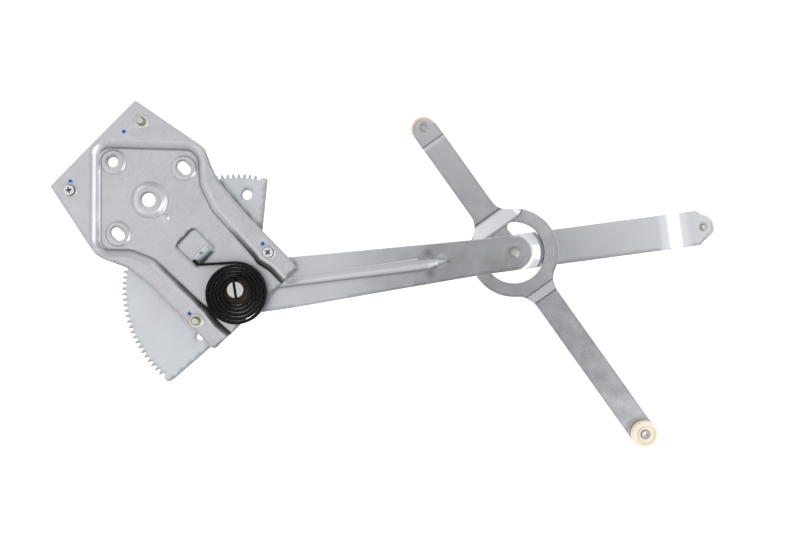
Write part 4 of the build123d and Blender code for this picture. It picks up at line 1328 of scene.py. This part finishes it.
def coil():
    pts, nor = [], []
    for seg in coil_path():
        if seg[0] == "line":
            a, b = np.array(seg[1]), np.array(seg[2])
            ln = hypot(*(b - a))
            k = max(2, int(ln / 1.2))
            dr = (b - a) / ln
            for j in range(k + 1):
                pts.append(a + (b - a) * j / k)
                nor.append((-dr[1], dr[0]))
        else:
            _, c, r, s0, s1 = seg
            k = max(4, int(abs(radians(s1 - s0)) * r / (1.0 if r > 5 else 0.35)))
            sg = 1 if s1 > s0 else -1
            for j in range(k + 1):
                t = radians(s0 + (s1 - s0) * j / k)
                pts.append(np.array([c[0] + r * cos(t), c[1] + r * sin(t)]))
                nor.append((-sg * cos(t), -sg * sin(t)))
    keep = [0] + [i for i in range(1, len(pts)) if hypot(*(pts[i] - pts[i - 1])) > 1e-4]
    pts = np.array([pts[i] for i in keep])
    nor = np.array([nor[i] for i in keep])
    run = np.concatenate([[0], np.cumsum(np.hypot(*np.diff(pts, axis=0).T))])
    h, z0, z1, r = 1.3, -5.5, 3.5, 0.42
    sect = []
    for cu, cz, st in ((h - r, z1 - r, 0), (-h + r, z1 - r, 90), (-h + r, z0 + r, 180), (h - r, z0 + r, 270)):
        for j in range(4):
            t = radians(st + 30 * j)
            sect.append((cu + r * cos(t), cz + r * sin(t)))
    sect = np.array(sect)
    rings, weights = [], []
    rel = pts - np.array(COIL_C)
    ang = np.degrees(np.arctan2(rel[:, 1], rel[:, 0]))
    wide = np.where(run < 260, 0.75 * bell((ang + 42) / 26, 1.0), 0.0)

    def ring(i, scale, ahead):
        d = np.array([nor[i][1], -nor[i][0]])
        c = pts[i] + d * ahead
        u = sect[:, 0] * scale
        u = np.where(u < 0, u - wide[i], u)
        z = -1.0 + (sect[:, 1] + 1.0) * (1 - (1 - scale) * 0.3)
        return np.column_stack([c[0] + nor[i][0] * u, c[1] + nor[i][1] * u, z])
    last = len(pts) - 1
    rings.append([(*pts[0], -1.0)]); weights.append(0.0)
    rings.append(ring(0, 0.8, 0.0)); weights.append(0.0)
    for i in range(len(pts)):
        if i in (0, last):
            rings.append(ring(i, 1.0, 0.25 if i == 0 else -0.25))
        else:
            rings.append(ring(i, 1.0, 0.0))
        weights.append(run[i] / run[-1])
    rings.append(ring(last, 0.8, 0.0)); weights.append(1.0)
    rings.append([(*pts[last], -1.0)]); weights.append(1.0)
    o = grid_piece("spring_strip", rings, M["black_spring"], None, 45)
    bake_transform(o)
    return o


p_coil = coil()
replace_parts(p_coil, "counterbalance_spring")

# ------------------------------------------------------------------ fixings and turned pieces
def hex_radius(t, af, turn, corner=1.125):
    a = (t - radians(turn)) % (pi / 3)
    return np.minimum(af / 2 / np.cos(a - pi / 6), af / 2 * corner)


def helix(t, z, pitch):
    f = (z / pitch - t / (2 * pi)) % 1.0
    return 1 - np.abs(2 * f - 1)


def ringed(c, r, t, z):
    r = np.broadcast_to(r, t.shape)
    return np.column_stack([c[0] + r * np.cos(t), c[1] + r * np.sin(t), np.broadcast_to(z, t.shape)])


def panel_screw(name, nd, c, turn, cross):
    t = np.arange(120) * 2 * pi / 120
    # vals are painted shade: darker in the thread grooves, on the flange and hex flanks, and in the cross recess
    rings, vals = [[(c[0], c[1], -9.6)]], [0.0]

    def add(r, z, v=0.0):
        rings.append(ringed(c, r, t, z))
        vals.append(v)
    add(1.7, -9.6, 0.2)
    for z in np.arange(-9.3, -0.35, 0.2):
        k = helix(t, z, 1.0)
        add(np.minimum(2.58 + 0.42 * k, 1.9 + (z + 9.6) * 0.9), z, 0.35 * (1 - k))
    add(3.0, -0.15)
    add(3.2, 0.02)
    for r, z in ((6.9, 0.02), (7.2, 0.12), (7.3, 0.4), (7.3, 0.75), (7.15, 1.1), (6.85, 1.33), (6.5, 1.4)):
        add(r, z, 0.42 if z < 1 else 0.22)
    rh = hex_radius(t, 10.0, turn)
    add(rh + 0.45, 1.4, 0.40)
    add(rh + 0.12, 1.42, 0.86)
    add(rh, 1.6, 0.88)
    add(rh, 3.7, 0.84)
    add(np.minimum(rh, 5.45), 4.25, 0.78)
    add(np.minimum(rh - 0.05, 5.15), 4.62, 0.62)
    add(np.minimum(rh - 0.2, 4.9), 4.88, 0.20)
    add(4.6, 5.0, 0.04)
    for r in (4.1, 3.7, 3.4, 3.15, 2.9, 2.65, 2.4, 2.15, 1.9, 1.65, 1.4, 1.2, 1.0, 0.8, 0.6, 0.4, 0.2):
        x, y = r * np.cos(t - radians(cross)), r * np.sin(t - radians(cross))
        depth = np.zeros(len(t))
        for u, v in ((np.abs(x), np.abs(y)), (np.abs(y), np.abs(x))):
            half = 0.62 + 0.18 * np.clip(1 - u / 3.2, 0, 1)
            wall = np.clip((half - v) / 0.22 + 0.5, 0, 1)
            reach = np.clip((3.15 - u) / 0.35, 0, 1)
            depth = np.maximum(depth, wall * reach * (1.1 + 1.3 * np.clip(1 - u / 3.2, 0, 1)))
        depth = np.maximum(depth, 2.2 * np.clip((1.5 - r) / 0.4, 0, 1))
        add(r, 5.0 - depth, np.clip(depth / 0.8, 0, 1) * 0.86)
    rings.append([(c[0], c[1], 2.7)])
    vals.append(0.8)
    o = grid_piece(name, rings, M[slots[nd]], "plate", 42, vals)
    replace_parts(o, nd)
    return o


panel_screw("screw_left", "panel_screw_left", SCREW_B, 34, 12)
panel_screw("screw_right", "panel_screw_right", SCREW_C, 25, 52)


def door_stud(name, nd, c):
    t = np.arange(72) * 2 * pi / 72
    # vals are painted shade: light on the collar, dark in the thread and round the shoulder, lighter on the end
    rings, vals = [[(c[0], c[1], -3.6)]], [0.0]

    def add(r, z, v=0.0):
        rings.append(ringed(c, r, t, z))
        vals.append(v)
    for r, z in ((4.5, -3.6), (4.85, -3.4), (4.9, -3.0), (4.9, -0.02), (6.45, 0.02), (6.65, 0.2), (6.7, 0.6), (6.7, 1.75), (6.6, 2.1),
                 (6.35, 2.33), (6.0, 2.4)):
        add(r, z, 0.12 if 0 < z < 1.9 else 0.0)
    add(4.7, 2.4, 0.10)
    add(4.15, 2.42, 0.72)
    for z in np.arange(2.6, 9.35, 0.2):
        k = helix(t, z, 1.25)
        r = np.minimum(3.42 + 0.58 * k, 4.0 - np.clip(z - 8.9, 0, 2) * 0.9)
        add(r, z, 0.56 + 0.40 * (1 - k))
    add(3.3, 9.55, 0.70)
    add(3.05, 9.78, 0.66)
    add(2.8, 9.95, 0.40)
    add(2.5, 10.0, 0.0)
    add(1.9, 9.96, 0.0)
    add(1.3, 9.9, 0.12)
    add(0.6, 9.85, 0.30)
    rings.append([(c[0], c[1], 9.84)])
    vals.append(0.34)
    o = grid_piece(name, rings, M[slots[nd]], "plate", 42, vals)
    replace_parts(o, nd)
    return o


door_stud("stud_upper", "door_stud_upper", STUD_A)
door_stud("stud_lower", "door_stud_lower", STUD_D)


def turned_piece(name, nd, c, profile, body, r=0.3, seg=72, dark=None):
    prof = round_profile(profile, r)
    vals = None if dark is None else [dark(a, b) for a, b in prof]
    o = lathe(name, c, prof, M[slots[nd]], body, seg, 40, vals)
    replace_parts(o, nd)
    return o


for nm, c in (("upper", STUD_A), ("lower", STUD_D)):
    turned_piece("ring_" + nm, "clinch_ring_" + nm, c, [(4.92, -3.4), (5.5, -3.6), (5.9, -3.2), (5.9, -2.02), (4.92, -2.02)], "plate", 0.15)


def weld_nut(name, nd, c, turn):
    t = np.arange(72) * 2 * pi / 72
    rh = hex_radius(t, 12.0, turn, 1.14)
    rings = [ringed(c, r, t, z) for r, z in ((3.05, -2.05), (3.05, -6.8), (3.5, -7.2), (np.minimum(rh - 0.1, 6.0), -7.2),
                                             (np.minimum(rh, 6.6), -6.9), (rh, -6.55), (rh, -2.05))]
    # the values are light painted shade on the bore's end and the outer faces
    o = grid_piece(name, rings, M[slots[nd]], "plate", 35, [0, 0.1, 0, 0, 0.1, 0.15, 0.2], closed=True)
    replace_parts(o, nd)
    return o


weld_nut("nut_left", "weld_nut_left", SCREW_B, 45)
weld_nut("nut_right", "weld_nut_right", SCREW_C, 45)

turned_piece("bush", "pivot_bush", PIVOT, [(7.06, -10.0), (9.0, -10.0), (9.0, -8.0), (15.2, -8.0), (15.2, -6.3), (14.8, -6.0),
                                           (7.06, -6.0)], "plate", 0.25, 96)
p_post = bevelled("pivot_post", "post", M["turned_steel"], "lift", 0.35, 3)
px_, py_ = PIVOT[0] * MM, PIVOT[1] * MM
for v_ in p_post.data.vertices:
    if v_.co.z > -5.7 * MM:
        v_.co.x = px_ + (v_.co.x - px_) * 0.94
        v_.co.y = py_ + (v_.co.y - py_) * 0.94
turned_piece("washer_pivot", "pivot_washer", PIVOT, [(7.0, -11.5), (14.0, -11.5), (14.0, -10.15), (7.0, -10.15)], "lift", 0.25)
parts_ = []
for i, c in enumerate(RIVETS):
    parts_.append(lathe("rivet_%d" % i, c, round_profile([(0, -19.0), (3.6, -19.0), (4.6, -18.2), (4.6, -17.0), (3.0, -17.0), (3.0, -11.5),
                                                          (4.4, -11.5), (4.4, -11.0), (3.6, -10.5), (0, -10.5)], 0.3), M["turned_steel"], None, 48))
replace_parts(joined("rivets_sector", parts_, "lift"), "sector_rivets")


# Painted shade for turned heads: darkest round the foot at height z, lighter above it.
def foot_dark(z):
    return lambda a, b: 0.74 if abs(b - z) < 0.5 and a > 3.2 else (0.52 if a > 2.6 and abs(b - z) < 2.4 else (0.30 if b > z else 0.0))


turned_piece("rivet_scissor", "scissor_rivet", C, [(0, -31.0), (7.5, -31.0), (8.6, -30.2), (8.6, -29.0), (6.0, -29.0), (6.0, -24.0),
                                                   (4.5, -24.0), (4.5, -21.0), (5.6, -21.0), (5.2, -19.9), (3.9, -19.15), (2.2, -18.93), (0, -18.9)],
             "lift", 0.3, 72, foot_dark(-21.0))
turned_piece("washer_friction", "friction_washer", C, [(6.05, -24.85), (13.0, -24.85), (13.0, -24.0), (6.05, -24.0)], "lift", 0.2)
turned_piece("washer_back", "back_washer", C, [(6.02, -29.0), (11.5, -29.0), (11.5, -28.15), (6.02, -28.15)], "lift", 0.2)


def stud_profile(front, side):
    w, t = 9.5, 3.0
    if side < 0:
        z = front - t
        return [(0, front + 1.45), (0.9, front + 1.35), (1.8, front + 1.58), (2.7, front + 1.5), (3.9, front + 0.6), (3.9, front), (3.2, front), (3.2, z),
                (6.4, z), (6.4, z - 0.8), (4.0, z - 0.8), (4.0, z - w - 1.2), (4.9, z - w - 1.2), (4.9, z - w - 1.9), (4.3, z - w - 2.4),
                (0, z - w - 2.4)]
    z = front
    return [(0, z - t - 1.6), (2.6, z - t - 1.5), (3.9, z - t - 0.6), (3.9, z - t), (3.2, z - t), (3.2, z), (6.4, z), (6.4, z + 0.8),
            (4.0, z + 0.8), (4.0, z + w + 1.2), (4.9, z + w + 1.2), (4.9, z + w + 1.9), (4.3, z + w + 2.4), (3.0, z + w + 2.36),
            (1.2, z + w + 2.0), (0, z + w + 1.95)]


END = -38.5
turned_piece("stud_lift", "lift_roller_stud", R, stud_profile(END, -1), "lift", 0.25, 72, foot_dark(END))
turned_piece("stud_up", "upper_roller_stud", U, stud_profile(END, -1), "crossing", 0.25, 72, foot_dark(END))
# painted shade on the lower stud's end, darker towards its rim
turned_piece("stud_low", "lower_roller_stud", D, stud_profile(-21.0, 1), "crossing", 0.25, 72,
             lambda a, b: 0.66 if b > -9.9 and a > 4.2 else (0.42 if b > -9.9 else 0.0))


def roller(name, nd, c, z0, body):
    z1, r, b = z0 + 9.5, 13.3, 4.06
    prof = [(b, z0), (7.0, z0), (7.4, z0 + 0.9), (9.6, z0 + 0.9), (10.0, z0), (r - 1.3, z0), (r - 0.4, z0 + 0.4), (r, z0 + 1.3),
            (r, z0 + 4.4), (r - 0.12, z0 + 4.75), (r, z0 + 5.1), (r, z1 - 1.3), (r - 0.4, z1 - 0.4), (r - 1.3, z1), (10.0, z1), (9.6, z1 - 0.9),
            (7.4, z1 - 0.9), (7.0, z1), (b + 0.3, z1), (b, z1 - 0.3)]
    # painted shade in the face grooves
    turned_piece(name, nd, c, prof, body, 0.25, 96, lambda a, z: 0.07 if 7.2 < a < 9.8 else 0.0)


roller("wheel_lift", "lift_roller", R, -52.0, "roller_lift")
roller("wheel_up", "upper_roller", U, -52.0, "roller_upper")
roller("wheel_low", "lower_roller", D, -20.0, "roller_lower")


def paint_dot(name, c, size, phase, keep_from=None):
    t = np.arange(48) * 2 * pi / 48
    lim = size * (1 + 0.07 * np.sin(3 * t + phase) + 0.05 * np.sin(5 * t + 2 * phase))
    if keep_from is not None:
        for i, a in enumerate(t):
            for s in np.arange(0.2, lim[i], 0.05):
                if hypot(c[0] + s * cos(a) - keep_from[0], c[1] + s * sin(a) - keep_from[1]) < keep_from[2]:
                    lim[i] = s
                    break
    rings, vals = [[(c[0], c[1], 0.20)]], [0.0]
    for f in (0.2, 0.4, 0.55, 0.7, 0.82, 0.92, 1.0):
        rings.append(ringed(c, lim * f, t, 0.03 + 0.17 * (1 - f ** 2)))
        vals.append(f)
    rings.append(ringed(c, lim * 0.99, t, 0.005))
    vals.append(1.0)
    rings.append([(c[0], c[1], 0.005)])
    vals.append(1.0)
    return grid_piece(name, rings, M["blue_paint"], "plate", 60, vals, "rim")


paint_dot("paint_dot_1", (-45.2, 89.8), 3.7, 0.4)
paint_dot("paint_dot_2", (-98.9, 40.0), 3.9, 1.7, (SCREW_B[0], SCREW_B[1], 7.35))
paint_dot("paint_dot_3", (93.6, -22.4), 4.0, 2.9, (SCREW_C[0], SCREW_C[1], 7.35))
paint_dot("paint_dot_4", (20.3, -92.2), 3.6, 4.2)

# ------------------------------------------------------------------ slots of the pieces, finish of any CAD node still shown
for o in list(bpy.data.objects):
    if o.type != "MESH":
        continue
for nd, sl in slots.items():
    ob = bpy.data.objects.get(frame_node(nd))
    if ob is None or ob.type != "MESH":
        continue
    ob.data.materials.clear()
    ob.data.materials.append(M[sl])
    ob.material_slots[0].link = "OBJECT"
    ob.material_slots[0].material = M[sl]

# ------------------------------------------------------------------ floor and light
floor_me = bpy.data.meshes.new("floor")
fz = cad_lo[2] - 0.0002
floor_me.from_pydata([(-6, -6, fz), (6, -6, fz), (6, 6, fz), (-6, 6, fz)], [], [(0, 1, 2, 3)])
floor = bpy.data.objects.new("floor", floor_me)
bpy.context.scene.collection.objects.link(floor)
floor_me.materials.append(floor_mat())


def light(name, loc, target, size, energy, colour=(1, 1, 1), size_y=None):
    d = bpy.data.lights.new(name, "AREA")
    d.shape = "RECTANGLE"
    d.size = size
    d.size_y = size_y or size
    d.energy = energy
    d.color = colour
    o = bpy.data.objects.new(name, d)
    bpy.context.scene.collection.objects.link(o)
    o.location = loc
    o.rotation_euler = (Vector(target) - Vector(loc)).to_track_quat("-Z", "Y").to_euler()
    return o


light("key_lower_right", (1.5, -0.9, 1.5), (0.2, 0, 0), 0.9, 14)


def sky_dir(theta, azimuth):
    t, a = radians(theta), radians(azimuth)
    return (sin(t) * cos(a), sin(t) * sin(a), cos(t))


# name, angle from straight up, azimuth from +X, full inside, nothing outside, colour, strength (negative darkens)
SKY = [
    ("right", 67, 2, 8, 19, (0.94, 0.98, 1.05), 1.2),
    ("upper_left", 72, 135, 10, 22, (0.95, 0.93, 1.0), 0.45),
]
SHADES = [
    (34, 135, 6, 20, 0.62),
    (62, 100, 14, 34, 0.62),
    (70, 262, 16, 40, 0.72),
    (12.2, -30, 3.5, 7.5, 0.36),
    (5.6, 2, 1.5, 6.0, 0.50),
    (9, 168, 4, 14, 0.72),
]

world = bpy.data.worlds.new("studio")
bpy.context.scene.world = world
world.use_nodes = True
wn = world.node_tree
bg = wn.nodes["Background"]
tc = wn.nodes.new("ShaderNodeTexCoord")


def wlink(v, sock):
    if hasattr(v, "links"):
        wn.links.new(v, sock)
    else:
        sock.default_value = v


def wmath(op, a, b=0.0):
    n = wn.nodes.new("ShaderNodeMath")
    n.operation = op
    wlink(a, n.inputs[0])
    wlink(b, n.inputs[1])
    return n.outputs[0]


def wspot(direction, inner, outer):
    n = wn.nodes.new("ShaderNodeVectorMath")
    n.operation = "DOT_PRODUCT"
    wn.links.new(tc.outputs["Generated"], n.inputs[0])
    n.inputs[1].default_value = direction
    mr = wn.nodes.new("ShaderNodeMapRange")
    mr.interpolation_type = "SMOOTHERSTEP"
    wn.links.new(n.outputs["Value"], mr.inputs["Value"])
    mr.inputs["From Min"].default_value = cos(radians(outer))
    mr.inputs["From Max"].default_value = cos(radians(inner))
    return mr.outputs["Result"]


sep = wn.nodes.new("ShaderNodeSeparateXYZ")
wn.links.new(tc.outputs["Generated"], sep.inputs[0])
theta = wmath("DIVIDE", wmath("ARCCOSINE", sep.outputs["Z"]), pi / 2)
BASE = [(0.0, 0.36), (0.045, 0.41), (0.075, 0.54), (0.10, 0.69), (0.165, 0.87), (0.25, 0.95), (0.5, 0.99), (0.9, 0.92), (1.0, 0.70)]
sky = ramp(wn, theta, [(p, (v * 0.985, v * 0.985, v * 1.0)) for p, v in BASE])
for th, az, i_, o_, k in SHADES:
    f = wspot(sky_dir(th, az), i_, o_)
    fac = wmath("SUBTRACT", 1.0, wmath("MULTIPLY", f, 1 - k))
    m_ = wn.nodes.new("ShaderNodeVectorMath")
    m_.operation = "SCALE"
    wn.links.new(sky, m_.inputs[0])
    wn.links.new(fac, m_.inputs["Scale"])
    sky = m_.outputs[0]
for nm, th, az, i_, o_, c_, k in SKY:
    f = wspot(sky_dir(th, az), i_, o_)
    m_ = wn.nodes.new("ShaderNodeVectorMath")
    m_.operation = "SCALE"
    m_.inputs[0].default_value = tuple(v * k for v in c_)
    wn.links.new(f, m_.inputs["Scale"])
    add = wn.nodes.new("ShaderNodeVectorMath")
    add.operation = "ADD"
    wn.links.new(sky, add.inputs[0])
    wn.links.new(m_.outputs[0], add.inputs[1])
    sky = add.outputs[0]
wn.links.new(sky, bg.inputs["Color"])
bg.inputs["Strength"].default_value = 1.0

bpy.context.scene.view_settings.view_transform = "Standard"
bpy.context.scene.view_settings.look = "None"
